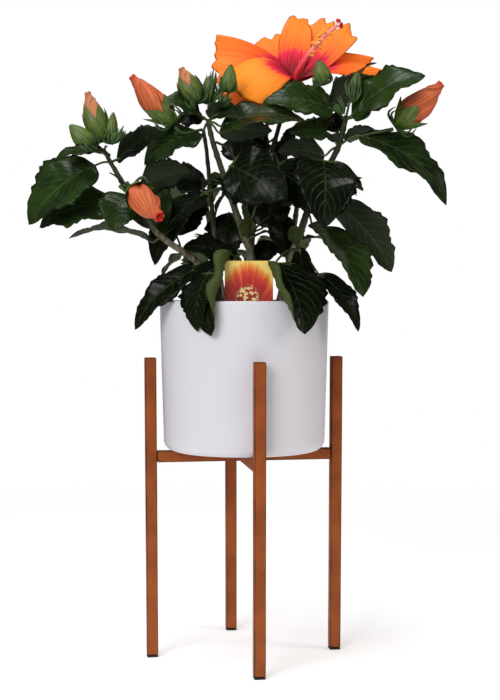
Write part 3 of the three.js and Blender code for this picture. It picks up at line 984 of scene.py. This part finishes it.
def limbs() -> list[Limb]:
    """Return the stems from the soil and the boughs that leave them."""
    cut = 308.6
    return [
        Limb("stem_centre", ((7, -5, cut), (6, -8, 357), (0, -12, 376), (-13, -20, 414), (-27, -26, 456),
                             (-31, -28, 474)), 4.0, 2.0, 2.0),
        Limb("stem_thin", ((-22, 5, cut), (-26, 5, 367), (-29, 2, 408), (-33, 2, 450), (-36, 4, 470)),
             2.6, 1.6, 1.5),
        Limb("stem_right", ((39, 0, cut), (42, 0, 354), (49, -2, 378), (63, -6, 418), (81, -8, 451),
                            (89, -10, 480)), 4.0, 2.2, 2.0),
        Limb("stem_left", ((-19, -15, cut), (-39, -28, 351), (-66, -38, 371), (-82, -40, 387),
                           (-110, -36, 431), (-117, -35, 443)), 3.4, 1.8, 1.8),
        Limb("stem_back_left", ((-16, 30, cut), (-25, 48, 350), (-32, 60, 390), (-38, 64, 420)),
             3.4, 2.0, 1.8),
        Limb("stem_back_right", ((30, 28, cut), (40, 48, 350), (47, 60, 392), (52, 66, 430)), 3.4, 2.0, 1.8),
        Limb("bough_flower", ((-9, -14, 417), (8, 4, 432), (22, 12, 446), (34, 18, 484), (41, 20, 496)),
             2.4, 1.8),
        Limb("bough_back", ((6, -3, 362), (9, 14, 392), (16, 42, 430), (20, 54, 468), (22, 56, 490)),
             2.6, 1.8),
    ]


# ---------------------------------------------------------------- leaves

@dataclass
class Blade:
    """One toothed leaf blade, bent along its midrib and folded about it.

    lap is how far one side laps over, in radians, with the side's sign, and flat
    the share of the half width that stays out of it. pucker is how far the skin
    rises between the side veins, as a share of the length.
    """

    base: Vector
    heading: float
    rise: float
    length: float
    width: float
    roll: float
    rng: random.Random
    arch: float = 0.1
    fold: float = 0.15
    curl: float = 0.0
    lap: float = 0.0
    teeth: int = 9
    rows: int = 27
    columns: int = 10
    flat: float = 0.35
    pucker: float = 0.011

    def __post_init__(self) -> None:
        """Work out the blade's own directions and its seeded waves."""
        self.along = direction(self.heading, self.rise)
        level = Vector((-math.sin(math.radians(self.heading)), math.cos(math.radians(self.heading)), 0))
        self.across = Matrix.Rotation(math.radians(self.roll), 3, self.along) @ level
        self.upward = self.along.cross(self.across)
        self.wave = self.rng.uniform(0.07, 0.17)
        self.phases = (self.rng.uniform(0, math.tau), self.rng.uniform(0, math.tau))
        self.sway = self.rng.uniform(-0.05, 0.05)
        self.twist = self.rng.uniform(-0.25, 0.25)

    def middle(self, t: float) -> Vector:
        """Return a place on the midrib."""
        drop = self.curl * self.length * max(0.0, t - 0.5) ** 2 * 2
        bow = self.arch * self.length * 4 * t * (1 - t)
        return (self.base + self.along * self.length * t + self.upward * (bow - drop)
                + self.across * self.sway * self.length * t * t)

    def teeth_out(self, across: float, t: float) -> float:
        """Return how far the teeth stand out there, as a share of the half width."""
        in_teeth = min(1.0, max(0.0, (t - 0.2) * 4), max(0.0, (0.97 - t) * 10))
        wobble = noise.noise(Vector((t * 7, math.copysign(3.7, across), self.phases[0] * 5)))
        tooth = (t * self.teeth + 0.34 + wobble * 0.35) % 1.0
        notch = (0.2 + 0.1 * wobble) * (tooth - 0.45) + 0.12 * wobble
        return notch * abs(across) ** 6 * in_teeth

    def surface(self, across: float, t: float) -> Vector:
        """Return a place on the blade."""
        half = self.width / 2 * math.sin(math.pi * t ** 0.75) ** 0.7 if 0 < t < 1 else 0.0
        edge = abs(across)
        side = -across * half * (1 + self.teeth_out(across, t))
        reach = abs(side) / self.length
        branch = t - VEIN_LEAN * reach - VEIN_BEND * reach * reach
        ripple = math.cos(math.tau * branch / VEIN_STEP)
        pucker = self.pucker * self.length * ripple * min(1.0, edge * 3) * (1 - edge ** 6)
        phase = self.phases[0 if across > 0 else 1]
        wave = self.wave * half * edge ** 2 * math.sin(math.tau * 2.2 * t + phase)
        lift = self.fold * abs(side) + wave + pucker * min(1.0, t * 6)
        lift += self.twist * t * side
        flat = self.flat
        if side * self.lap > 0 and edge > flat:
            strip, bend = half * (1 - flat), abs(self.lap) * math.sin(math.pi * t) ** 0.5
            turn = bend * (edge - flat) / (1 - flat)
            side = math.copysign(half * flat + strip * math.sin(turn) / bend, side)
            lift += strip * (1 - math.cos(turn)) / bend
        return self.middle(t) + self.across * side + self.upward * lift

    def body(self, shade: float) -> bmesh.types.BMesh:
        """Return the blade as a thin body."""
        share = self.width / 2 / self.length
        return sheet(self.surface, self.columns, self.rows, 0.7 * MM, shade, share)


@dataclass(frozen=True)
class Spray:
    """Leaves round one knot of a shoot.

    Each leaf is the heading, rise and length of its stalk, then the heading, rise,
    length, width and roll of its blade, in degrees and millimetres. A ninth number
    is how far one side of the blade laps over, in radians, with the side's sign.
    """

    node: str
    hub: tuple[float, float, float]
    leaves: tuple[tuple[float, ...], ...]
    age: LeafTone = LeafTone.FULL
    young: int = 2


def tier(node: str, hub: tuple[float, float, float], count: int, start: float, turn: float, rise: float,
         reach: float) -> Spray:
    """Return a spray whose leaves follow one another round a bough by a fixed turn.

    Args:
        node: The CAD node that it stands for.
        hub: The knot of the shoot.
        count: How many leaves.
        start: The first leaf's heading.
        turn: Degrees from a leaf to the next.
        rise: How far the tier rises.
        reach: Stalk and blade together.

    Returns:
        The spray.
    """
    stalk_share, width_share, stalk_lift, droop, short = 0.3, 0.62, 20, 15, 0.88
    leaves = []
    for i in range(count):
        heading = start + i * turn
        length = reach * (1 - stalk_share) * (short if i % 2 else 1)
        leaves.append((heading, rise + stalk_lift, reach * stalk_share, heading, rise - droop, length,
                       length * width_share, 0))
    # the back tiers take the darkest tone, which is partly painted shade
    return Spray(node, hub, tuple(leaves), LeafTone.DEEP, 3)


def sprays() -> list[Spray]:
    """Return the sprays of leaves from the left of the plant to its back."""
    # sprays inside and low in the crown take the darkest tone, which is partly painted shade
    deep = LeafTone.DEEP
    return [
        Spray("foliage_left_tip", (-113, -36, 438), (
            (-145, -12, 16, -175, -41, 76, 64, -48), (-115, 25, 16, -165, -8, 42, 22, -25),
            (50, 20, 6, 30, 30, 60, 28, -50))),
        Spray("foliage_left_middle", (-98, -39, 410), (
            (-165, -40, 14, 178, -12, 70, 44, -45), (-95, 0, 12, -110, -48, 42, 38, -15),
            (20, 30, 12, 12, 22, 46, 36, -50))),
        Spray("foliage_left_low", (-70, -38, 375), (
            (-150, -30, 10, 178, 6, 72, 40, 10), (90, 25, 20, 125, 48, 58, 40, -50))),
        Spray("foliage_centre_tip", (-31, -28, 473), (
            (-140, -60, 13, -165, -24, 57, 42, -35), (-155, 35, 8, -155, 20, 38, 26, -45),
            (-50, 25, 10, 5, 0, 30, 20, 40), (-35, -20, 14, -8, 4, 74, 44, 40),
            (-20, -45, 14, 0, 2, 46, 24, -60))),
        Spray("foliage_centre_fork", (-14, -20, 417), (
            (-85, 40, 28, -34, -26, 64, 54, 70), (150, -5, 20, -162, -50, 80, 52, -15),
            (125, 15, 36, 150, 12, 42, 28, -110)), deep),
        Spray("foliage_right_middle", (66, -7, 424), (
            (-85, 35, 28, -94, -47, 74, 58, -10), (10, 0, 14, 20, -10, 28, 20, -20)), deep),
        Spray("foliage_centre_low", (1, -11, 373), (
            (-20, 68, 68, -15, -42, 62, 46, 55), (35, 30, 22, 50, 55, 50, 40, 30),
            (120, 42, 38, -110, -75, 50, 36, 0), (30, 37, 40, -60, -75, 40, 30, 0)), deep),
        Spray("foliage_right_tip", (88, -10, 476), (
            (-135, 25, 18, -162, 6, 62, 38, -60), (168, 40, 19, 26, 31, 51, 32, -60),
            (-50, 25, 8, -24, 27, 72, 50, 55), (-10, 75, 34, 20, 45, 26, 18, 0))),
        Spray("foliage_right_upper", (82, -8, 454), (
            (-30, 22, 22, -9, -34, 96, 52, 35), (40, 30, 12, 5, 25, 26, 16, -50),
            (-130, 35, 18, -165, 0, 36, 22, -60), (-140, -30, 18, 168, 6, 42, 28, 40))),
        Spray("foliage_right_low", (56, -4, 398), (
            (-20, 16, 26, 0, -50, 78, 42, -45), (-70, -50, 18, -53, -42, 90, 54, 0, -2.2))),
        Spray("foliage_right_foot", (46, -1, 366), (
            (-122, -20, 38, -61, -50, 78, 60, 0, -2.3), (-50, -38, 36, -19, -52, 62, 32, 25),
            (-75, 5, 10, 0, -68, 56, 26, 135)), deep),
        Spray("foliage_skirt_front", (7, -6, 340), (
            (-125, 30, 42, -115, -56, 82, 58, 25, 2.4), (-135, 28, 30, -160, 18, 44, 34, -40),
            (-132, 5, 56, -114, -62, 54, 34, 10)), deep),
        Spray("foliage_skirt_left", (-30, -22, 340), ((-130, 35, 16, -176, -40, 78, 26, -50),), deep),
        tier("foliage_back_left_low", (-28, 54, 366), 4, 30, 42, -20, 68),
        tier("foliage_back_left_top", (-38, 64, 418), 4, 45, 42, -5, 64),
        tier("foliage_back_right_low", (43, 53, 368), 3, 35, 40, 5, 66),
        tier("foliage_back_right_top", (52, 66, 428), 4, 20, 42, -5, 62),
        tier("foliage_back_middle", (15, 40, 426), 4, 30, 42, 0, 72),
        tier("foliage_back_top", (22, 56, 488), 5, -15, 52, 18, 66),
    ]


def inner_sprays() -> list[Spray]:
    """Return the leaves inside the crown, behind the stems."""
    return [
        Spray("", (-31, -28, 474), ((138, 13, 6, 170, -3, 24, 22, -50),)),
        Spray("", (-24, -24, 456), ((63, -18, 40, 104, 42, 35, 22, -30),)),
        Spray("", (29, 12, 446), ((77, -30, 15, 15, 64, 44, 34, 20), (100, 20, 20, 150, 30, 40, 28, 10))),
        Spray("", (88, -8, 468), ((105, 3, 13, 145, 30, 30, 26, -40),)),
        Spray("", (-13, -20, 414), ((79, 17, 32, 153, -56, 40, 34, -30), (75, 9, 37, 64, -63, 37, 26, 30))),
        Spray("", (-54, -34, 362), ((109, 44, 21, 38, 45, 46, 26, 40),)),
        Spray("", (7, -8, 354), ((67, 1, 14, 52, 38, 32, 22, 30),)),
        Spray("", (49, -2, 378), ((75, 14, 13, 134, -51, 34, 22, -20),)),
        Spray("", (29, 12, 462), ((108, 0, 19, 170, -13, 30, 30, -50),)),
        Spray("", (-117, -36, 452), ((180, -52, 4, -162, -14, 30, 16, -40),)),
        Spray("", (-29, 2, 408), ((110, -25, 9, 151, -32, 37, 30, -30),)),
    ]


@dataclass
class Foliage:
    """All the leaves, the stalks that carry them and the young shoots at the knots."""

    stalk: float = 1.15 * MM
    blade_end: float = 0.85 * MM

    def grow(self, rng: random.Random) -> None:
        """Grow every spray from its knot."""
        skins = {age: LeafSkin(age).material() for age in LeafTone}
        stalks = Strands(1)
        for spray in sprays():
            cluster = Cluster()
            hub = spot(spray.hub)
            for row in spray.leaves:
                self.leaf(cluster, stalks, hub, row, rng)
            for _ in range(spray.young):
                self.leaf(cluster, stalks, hub, self.young_leaf(rng), rng)
            name = f"leaves_{spray.node.removeprefix('foliage_')}"
            cluster.piece(name, skins[spray.age], "leaf", [spray.node])
        inside = Cluster()
        for spray in inner_sprays():
            for row in spray.leaves:
                self.leaf(inside, stalks, spot(spray.hub), row, rng)
        # the leaves inside the crown take the darkest tone, which is partly painted shade
        inside.piece("leaves_inside", skins[LeafTone.DEEP], "leaf")
        green = Plain("leaf_stalk", "4a5a28", "333f1f", 0.5, 90.0, 0.0001).material()
        stalks.piece("leaf_stalks", green, "green_stem")

    def young_leaf(self, rng: random.Random) -> tuple[float, ...]:
        """Return a small seeded leaf beside a knot."""
        heading, length = rng.uniform(-180, 180), rng.uniform(15, 26)
        return (heading, rng.uniform(10, 50), rng.uniform(5, 9), heading + rng.uniform(-20, 20),
                rng.uniform(0, 50), length, length * rng.uniform(0.5, 0.65), rng.uniform(-30, 30))

    def leaf(self, cluster: Cluster, stalks: Strands, hub: Vector, row: Sequence[float],
             rng: random.Random) -> None:
        """Grow one leaf: its stalk from the hub, then its blade."""
        stalk_heading, stalk_rise, stalk_length, heading, rise, length, width, roll = row[:8]
        lap = row[8] if len(row) > 8 else 0.0
        base = hub + direction(stalk_heading, stalk_rise) * stalk_length * MM
        curl = rng.uniform(0.0, 0.25)
        blade = Blade(base, heading, rise, length * MM, width * MM, roll, rng, curl=curl, lap=lap)
        cluster.absorb(blade.body(rng.random()))
        middle = hub.lerp(base, 0.5) + Vector((0, 0, 0.08 * stalk_length * MM))
        stalks.taper([hub, middle, base, blade.middle(0.1)], 9, self.stalk, self.blade_end)


# ---------------------------------------------------------------- buds

@dataclass(frozen=True)
class Bud:
    """A bud from its foot to its tip, in millimetres from the axis.

    open is the share of its length where the furled petals show, closed the share
    past which it draws in to its point, and flare how far the sepals stand off it.
    """

    name: str
    foot: tuple[float, float, float]
    tip: tuple[float, float, float]
    girth: float
    open: float = 0.0
    stalk: tuple[tuple[float, float, float], ...] = ()
    belly: float = 0.42
    mouth: float = 0.3
    twist: float = 1.5
    lap: float = 0.24
    petals: int = 5
    bracts: int = 7
    flare: float = 0.0
    closed: float = 0.985

    def axis(self) -> tuple[Vector, Vector, float]:
        """Return the foot, the unit vector towards the tip and the length."""
        foot, tip = spot(self.foot), spot(self.tip)
        return foot, (tip - foot).normalized(), (tip - foot).length

    def radius(self, share: float) -> float:
        """Return the furled petals' radius at a share of the length."""
        if not 0 < share < 1:
            return 0.0
        power = math.log(0.5) / math.log(self.belly)
        round_body = math.sin(math.pi * share ** power) ** 0.8
        blunt = self.mouth * min(1.0, max(0.0, share - 0.5) * 4) if self.open else 0.0
        return max(round_body, blunt) * self.girth * MM / 2

    def furled(self) -> bmesh.types.BMesh:
        """Return the furled petals, each lapping over the next in a slow twist, with a rolled mouth."""
        foot, along, length = self.axis()
        first, second = square_to(along)
        wall, top = 0.84, self.closed

        def surface(across: float, share: float) -> Vector:
            """Return a place on the furled petals."""
            lap = (across + 1) / 2 * self.petals % 1.0
            if share <= wall:
                level, reach = share / wall * top, self.radius(share / wall * top)
                swirl = 0.0
            else:
                swirl = (share - wall) / (1 - wall)
                level, reach = top - 0.07 * swirl, self.radius(top) * (1 - swirl)
            angle = math.pi * across + self.twist * level + 1.6 * max(0.0, level - 0.75) * 4 + 2.6 * swirl
            ridge = self.lap * (lap - 0.5) * min(1.0, share * 4) * (1 + swirl)
            out = around(first, second, angle)
            crumple = 1 + 0.09 * noise.noise(foot * 900 + out * 2.2 + along * share * 4)
            rim = self.lap * 0.18 * (lap - 0.5) * length * max(0.0, share - 0.7) / 0.3 * 0.5
            return foot + along * (length * level + rim) + out * reach * 0.94 * (1 + ridge) * crumple

        return sheet(surface, 50, 34, shade=0.0 if self.stalk else 1.0)

    def calyx(self) -> bmesh.types.BMesh:
        """Return the cup of sepals round the bud, with a point to each."""
        foot, along, length = self.axis()
        first, second = square_to(along)
        cover = 1.0 - self.open
        notch = 0.55 if self.open else 0.9

        def surface(across: float, share: float) -> Vector:
            """Return a place on the sepals."""
            lobe = 1 - abs((across + 1) / 2 * self.petals % 1.0 * 2 - 1)
            angle = math.pi * across
            sepal = round((across + 1) / 2 * self.petals - 0.5)
            uneven = 1 + 0.12 * noise.noise(foot * 700 + Vector((sepal, 0, 0)) * 3)
            reach = share * cover * (notch + (1 - notch) * lobe ** 0.9) * (uneven if self.open else 1)
            grow = 1.06 + 0.10 * lobe * share ** 3 * (1 if self.open else 0)
            out = around(first, second, angle)
            ridge = 1 + 0.05 * lobe ** 3
            radius = self.radius(min(reach, self.closed)) * grow * ridge + 0.35 * MM * min(1.0, share * 8)
            radius += self.flare * MM * lobe * share ** 2
            if reach > self.closed:
                radius *= max(0.0, (1.0 - reach) / 0.015)
            return foot + along * length * reach + out * radius

        return sheet(surface, 40, 14)

    def add_bracts(self, strands: Strands, rng: random.Random) -> None:
        """Add the thin curved bracts below the calyx."""
        foot, along, length = self.axis()
        first, second = square_to(along)
        span = min(length * 0.62, 17 * MM)
        for i in range(self.bracts):
            angle = math.tau * (i + rng.uniform(-0.2, 0.2)) / self.bracts
            out = around(first, second, angle)
            reach = self.radius(0.35)
            start = foot + out * 0.8 * MM + along * 0.6 * MM
            bend = foot + out * (reach + 1.2 * MM) + along * span * rng.uniform(0.1, 0.25)
            tip = foot + out * (reach + rng.uniform(0.6, 2.4) * MM) + along * span * rng.uniform(0.45, 0.75)
            curl = tip + along * 2 * MM - out * rng.uniform(0.0, 1.5) * MM
            route = smooth_route([start, bend, tip, curl], 10)
            strands.add(route, swelling(0.25, 1.05, 0.25, 10))


def buds() -> list[Bud]:
    """Return the three great buds and the small ones at the shoot tips."""
    return [
        Bud("bud_left", (-60, -40, 469), (-96, -40, 510), 21, 0.6,
            ((-36, -30, 466), (-52, -38, 462), (-59, -40, 467)), flare=4.5),
        Bud("bud_right", (130, -25, 468), (170, -25, 506), 24, 0.6,
            ((91, -12, 458), (106, -18, 463), (128, -25, 467)), flare=2.5),
        Bud("bud_front", (-95, -64, 415), (-68, -96, 388), 23, 0.7,
            ((-97, -50, 416), (-98, -58, 419), (-96, -64, 416)), mouth=0.42, bracts=3, flare=1.0),
        Bud("bud_small_left", (-121, -34, 455), (-134, -30, 498), 19, 0.3),
        Bud("bud_small_left_inner", (-114, -36, 453), (-111, -38, 480), 9),
        Bud("bud_small_far_left", (-128, -40, 448), (-148, -42, 469), 15),
        Bud("bud_small_centre", (-40, -31, 487), (-54, -30, 518), 19, 0.25),
        Bud("bud_small_top", (-32, -24, 488), (-30, -24, 512), 9),
        Bud("bud_small_bloom_left", (-14, -39, 496), (-11, -42, 519), 11),
        Bud("bud_small_bloom_right", (68, -31, 503), (63, -34, 524), 13),
        Bud("bud_small_right", (94, -16, 494), (98, -20, 516), 10),
    ]


@dataclass(frozen=True)
class Tuft:
    """A crowd of narrow bracts round buds that have hardly begun, in millimetres from the axis."""

    foot: tuple[float, float, float]
    heading: float
    rise: float
    height: float
    blades: int

    def grow(self, strands: Strands, rng: random.Random) -> None:
        """Grow the bracts, which spread and then bend back upwards."""
        foot, up = spot(self.foot), direction(self.heading, self.rise)
        first, second = square_to(up)
        for i in range(self.blades):
            angle = math.tau * i * GOLDEN_TURN
            out = around(first, second, angle)
            reach = self.height * MM * rng.uniform(0.55, 1.05)
            spread = rng.uniform(0.15, 0.42)
            start = foot + up * reach * rng.uniform(0.0, 0.35)
            middle = start + up * reach * 0.4 + out * reach * spread
            tip = start + up * reach * 0.85 + out * reach * spread * rng.uniform(0.6, 1.3)
            route = smooth_route([start, middle, tip], 8)
            strands.add(route, swelling(0.2, 1.15, 0.15, 8))


def tufts() -> list[Tuft]:
    """Return the crowded bracts at the shoot tips."""
    return [
        Tuft((-30, -26, 486), 60, 75, 30, 26), Tuft((-22, -34, 484), 0, 50, 18, 14),
        Tuft((-42, -36, 478), -150, 50, 18, 14), Tuft((94, -20, 488), 70, 80, 26, 22),
        Tuft((98, -24, 474), 0, 60, 20, 14), Tuft((86, -22, 480), 160, 50, 16, 12),
        Tuft((-112, -42, 452), 20, 60, 18, 14), Tuft((-124, -42, 446), 190, 40, 12, 8),
    ]


@dataclass
class Buds:
    """All the buds, with their sepals, bracts and stalks."""

    def build(self, rng: random.Random) -> None:
        """Build the buds joined by kind: petals, sepals and stalks."""
        furled, calyxes, green = Cluster(), Cluster(), Strands(1)
        great, small = [], []
        for bud in buds():
            if bud.open:
                furled.absorb(bud.furled())
            calyxes.absorb(bud.calyx())
            bud.add_bracts(green, rng)
            if bud.stalk:
                green.taper([spot(point) for point in bud.stalk], 10, 1.4 * MM, 1.7 * MM)
                great.append(bud.name)
            else:
                small.append(bud.name)
        for tuft in tufts():
            tuft.grow(green, rng)
        furled.piece("bud_petals", BudSkin().material(), "bud", great)
        calyxes.piece("bud_sepals", SepalSkin().material(), "sepal", small)
        skin = Plain("bract_green", "3c5820", "243c15", 0.5, 90.0, 0.0001).material()
        green.piece("bud_bracts", skin, "sepal", [name.replace("bud", "pedicel") for name in great])


# ---------------------------------------------------------------- the bloom

@dataclass(frozen=True)
class Petal:
    """One petal: a fan from the throat, bowed, bent at its rim and ruffled.

    full is how slowly it widens, shoulder how far its corners fall short of its
    middle, skew how much longer one side is, and ragged how torn its rim is.
    """

    heading: float
    rise: float
    length: float
    width: float
    roll: float
    arch: float = 0.12
    curl: float = 0.1
    cup: float = 0.1
    ruffle: float = 5.0
    yellow: float = 0.1
    phase: float = 0.0
    full: float = 1.35
    shoulder: float = 0.34
    skew: float = 0.0
    ragged: float = 1.0

    def body(self, throat: Vector) -> bmesh.types.BMesh:
        """Return the petal as a thin body that starts in the throat."""
        along = direction(self.heading, self.rise)
        turn = math.radians(self.heading)
        level = Vector((-math.sin(turn), math.cos(turn), 0))
        across_axis = Matrix.Rotation(math.radians(self.roll), 3, along) @ level
        upward = along.cross(across_axis)
        length, width = self.length * MM, self.width * MM

        def surface(across: float, share: float) -> Vector:
            """Return a place on the petal."""
            spread = math.sin(math.pi / 2 * share ** 0.9) ** self.full * 0.94 + 0.06 * share ** 0.3
            edge = abs(across)
            teeth = noise.noise(Vector((across * 4 + self.phase, 3.1, self.heading))) * 0.13
            teeth += noise.noise(Vector((across * 13, 9.7, self.heading))) * 0.04
            reach = share * (1 - self.shoulder * edge ** 3.0) * (1 + self.skew * across)
            reach += teeth * self.ragged * share ** 5
            side = -across * width / 2 * spread
            bow = self.arch * length * 4 * share * (1 - share) - self.curl * length * share ** 3
            fold = (self.ruffle * MM * share ** 2.5 * math.sin(across * 5.2 + self.phase)
                    * (0.35 + 0.65 * edge))
            fold += self.ruffle * 0.3 * MM * share ** 9 * math.sin(across * 15 + self.phase * 2)
            cup = self.cup * abs(side) * edge
            return throat + along * length * reach + across_axis * side + upward * (bow + cup + fold)

        return sheet(surface, 36, 26, 0.5 * MM, self.yellow)


@dataclass
class Bloom:
    """The open flower: five petals, the column with its anthers, and the calyx."""

    throat: tuple[float, float, float] = (44, 12, 512)
    anthers: int = 64
    anther: float = 0.95 * MM
    hair: float = 0.22 * MM
    stigmas: int = 5
    stigma: float = 1.7 * MM

    def petals(self) -> list[Petal]:
        """Return the petals in the order they lap."""
        return [
            Petal(-150, -2, 62, 66, -35, yellow=1.0, phase=0.4, ruffle=1.0, arch=0.24, curl=0.1, cup=-0.15,
                  shoulder=0.3, ragged=0.12),
            Petal(178, 7, 69, 70, -66, phase=1.9, arch=0.04, curl=0.0, ruffle=3.0, full=0.7, shoulder=0.04,
                  skew=0.12),
            Petal(113, 47, 67, 66, -30, phase=3.1, yellow=0.25, arch=0.05, curl=0.05, ruffle=3.0, full=0.8,
                  shoulder=0.14),
            Petal(49, 50, 76, 68, 27, phase=0.2, yellow=0.3, arch=0.04, curl=0.0, ruffle=2.2, full=0.6,
                  shoulder=0.16, skew=0.03),
            Petal(14, 13, 84, 50, 36, phase=5.3, yellow=0.1, ruffle=6.0, shoulder=0.22, ragged=1.2),
        ]

    def add_anthers(self, route: Sequence[Vector], hairs: Strands, beads: Cluster,
                    rng: random.Random) -> None:
        """Add the anthers on short hairs round the outer half of the column."""
        along = (route[-1] - route[-8]).normalized()
        first, second = square_to(along)
        for _ in range(self.anthers):
            place = route[int(rng.uniform(0.5, 0.93) * (len(route) - 1))]
            angle = rng.uniform(0, math.tau)
            out = around(first, second, angle) + along * rng.uniform(0.1, 0.6)
            tip = place + out.normalized() * rng.uniform(3.2, 6.0) * MM
            hairs.add([place, place.lerp(tip, 0.5), tip], [self.hair] * 3)
            beads.absorb(ball(tip, self.anther, 1))

    def add_stigmas(self, route: Sequence[Vector], stalks: Strands, dots: Cluster,
                    rng: random.Random) -> None:
        """Add the stigmas, each on a short stalk from the column's end."""
        end, along = route[-1], (route[-1] - route[-6]).normalized()
        first, second = square_to(along)
        for i in range(self.stigmas):
            out = around(first, second, math.tau * i / self.stigmas + 0.5)
            tip = end + along * rng.uniform(4, 6.5) * MM + out * rng.uniform(2.6, 4.2) * MM
            stalks.taper([end - along * MM, end + along * 2 * MM + out * MM, tip], 6, 0.55 * MM, 0.4 * MM)
            dots.absorb(ball(tip, self.stigma, 2))

    def column(self, rng: random.Random) -> None:
        """Build the column, its anthers and its stigmas."""
        points = [spot(p) for p in ((44, 11, 508), (46, 7, 519), (58, 1, 536), (70, -3, 549), (79, -5, 556))]
        count = 40
        route = smooth_route(points, count)
        shaft = Strands(3)
        shaft.add(route, [blend(2.7, 1.6, i / (count - 1)) * MM for i in range(count)])
        hairs, beads, dots = Strands(0), Cluster(), Cluster()
        self.add_anthers(route, hairs, beads, rng)
        self.add_stigmas(route, shaft, dots, rng)
        shaft.piece("bloom_shaft", ColumnSkin().material(), "column", ["bloom_column"])
        hairs.piece("anther_hairs", Plain("hair_pink", "f0a080", "e88468", 0.5).material(), "column")
        beads.piece("anthers", Plain("pollen", "ffc43c", "fb9a20", 0.8, 900.0).material(), "column")
        dots.piece("stigmas", Plain("stigma_red", "d01028", "b00c20", 0.6, 900.0).material(), "column")

    def build(self, rng: random.Random) -> None:
        """Build the flower."""
        cluster = Cluster()
        for petal in self.petals():
            cluster.absorb(petal.body(spot(self.throat)))
        cluster.piece("ruffled_petals", PetalSkin().material(), "petal", ["bloom_petals"])
        self.column(rng)
        calyx = Bud("bloom_calyx", (41, 20, 497), (46, 8, 522), 16, 0.35)
        cup = Cluster()
        cup.absorb(calyx.calyx())
        bracts = Strands(1)
        calyx.add_bracts(bracts, rng)
        cup.absorb_mesh(bracts.mesh())
        cup.piece("bloom_sepals", SepalSkin().material(), "sepal", ["bloom_calyx"])


# ---------------------------------------------------------------- the studio

@dataclass
class Studio:
    """A plain pale floor, soft lights and the camera."""

    distance: float = 1206.4 * MM
    height: float = 333.0 * MM
    pitch: float = 6.06
    lens: float = 69.47
    shift: tuple[float, float] = (0.0083, 0.1133)
    sky_mirrored: float = 0.08
    sky_light: float = 0.37
    floor_glow: float = 0.39
    floor_fade: tuple[float, float] = (0.35, 1.1)

    def camera(self) -> None:
        """Set the camera in front of the plant, looking a little down."""
        data = bpy.data.cameras.new("camera")
        data.sensor_fit = "VERTICAL"
        data.sensor_height = 36.0
        data.lens = self.lens
        data.shift_x, data.shift_y = self.shift
        camera = bpy.data.objects.new("camera", data)
        bpy.context.scene.collection.objects.link(camera)
        camera.location = AXIS + Vector((0, -self.distance, self.height))
        camera.rotation_euler = (math.radians(90 - self.pitch), 0, 0)
        bpy.context.scene.camera = camera

    def floor(self) -> None:
        """Lay the pale floor."""
        bm = bmesh.new()
        bmesh.ops.create_grid(bm, x_segments=1, y_segments=1, size=15.0)
        mesh = bpy.data.meshes.new("floor")
        bm.to_mesh(mesh)
        bm.free()
        r = Recipe("studio_floor")
        away = r.node("ShaderNodeVectorMath", {"operation": "LENGTH"}, {0: r.here()}, "Value")
        r.connect(r.shader.inputs["Alpha"], 1 - away.step(*self.floor_fade))
        r.connect(r.shader.inputs["Emission Color"], tint("ffffff"))
        mesh.materials.append(r.finish(tint("e8e8e8"), 0.9, Specular_IOR_Level=0.0,
                                       Emission_Strength=self.floor_glow))
        made = bpy.data.objects.new("floor", mesh)
        bpy.context.scene.collection.objects.link(made)

    def light(self, name: str, place: Sequence[float], aim: Sequence[float], size: float, power: float,
              colour: str = "ffffff") -> None:
        """Hang a soft square light at place that shines towards aim."""
        data = bpy.data.lights.new(name, "AREA")
        data.shape = "SQUARE"
        data.size = size
        data.energy = power
        data.color = tint(colour)[:3]
        made = bpy.data.objects.new(name, data)
        bpy.context.scene.collection.objects.link(made)
        made.location = AXIS + Vector(place)
        made.rotation_euler = (Vector(aim) - Vector(place)).to_track_quat("-Z", "Y").to_euler()

    def sky(self) -> None:
        """Set a white backdrop that lights the plant less than it shows, and is dark in its gloss."""
        world = bpy.data.worlds.new("studio")
        world.use_nodes = True
        tree = world.node_tree
        background = tree.nodes["Background"]
        background.inputs[0].default_value = tint("ffffff")
        path = tree.nodes.new("ShaderNodeLightPath")
        strength: bpy.types.NodeSocket | None = None
        for kind, level in (("Is Glossy Ray", self.sky_mirrored), ("Is Camera Ray", 1.0)):
            choice = tree.nodes.new("ShaderNodeMapRange")
            tree.links.new(path.outputs[kind], choice.inputs[0])
            choice.inputs[3].default_value = self.sky_light
            choice.inputs[4].default_value = level
            if strength:
                tree.links.new(strength, choice.inputs[3])
            strength = choice.outputs[0]
        tree.links.new(strength, background.inputs[1])
        bpy.context.scene.world = world

    def build(self) -> None:
        """Build the studio."""
        self.camera()
        self.floor()
        self.sky()
        bpy.context.scene.view_settings.view_transform = "Standard"
        target = (0.0, 0.0, 0.35)
        self.light("key", (-0.75, -1.38, 1.0), target, 0.9, 17.4)
        self.light("top", (-0.2, -0.1, 1.7), target, 0.6, 10.0)
        self.light("rim", (1.35, -0.35, 0.85), target, 0.5, 6.2, "fff2e8")


def main() -> None:
    """Build the plant from its stand upwards, then the studio."""
    logging.basicConfig(level=logging.INFO, format="%(message)s")
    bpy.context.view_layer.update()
    rng = random.Random(SEED)
    Studio().build()
    Stand().build()
    Pot().build(rng)
    low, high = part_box("stem_centre")
    bark = Bark(low.z, high.z).material()
    for limb in limbs():
        limb.build(rng, bark)
    Foliage().grow(rng)
    Buds().build(rng)
    Bloom().build(rng)


if __name__ == "__main__":
    main()
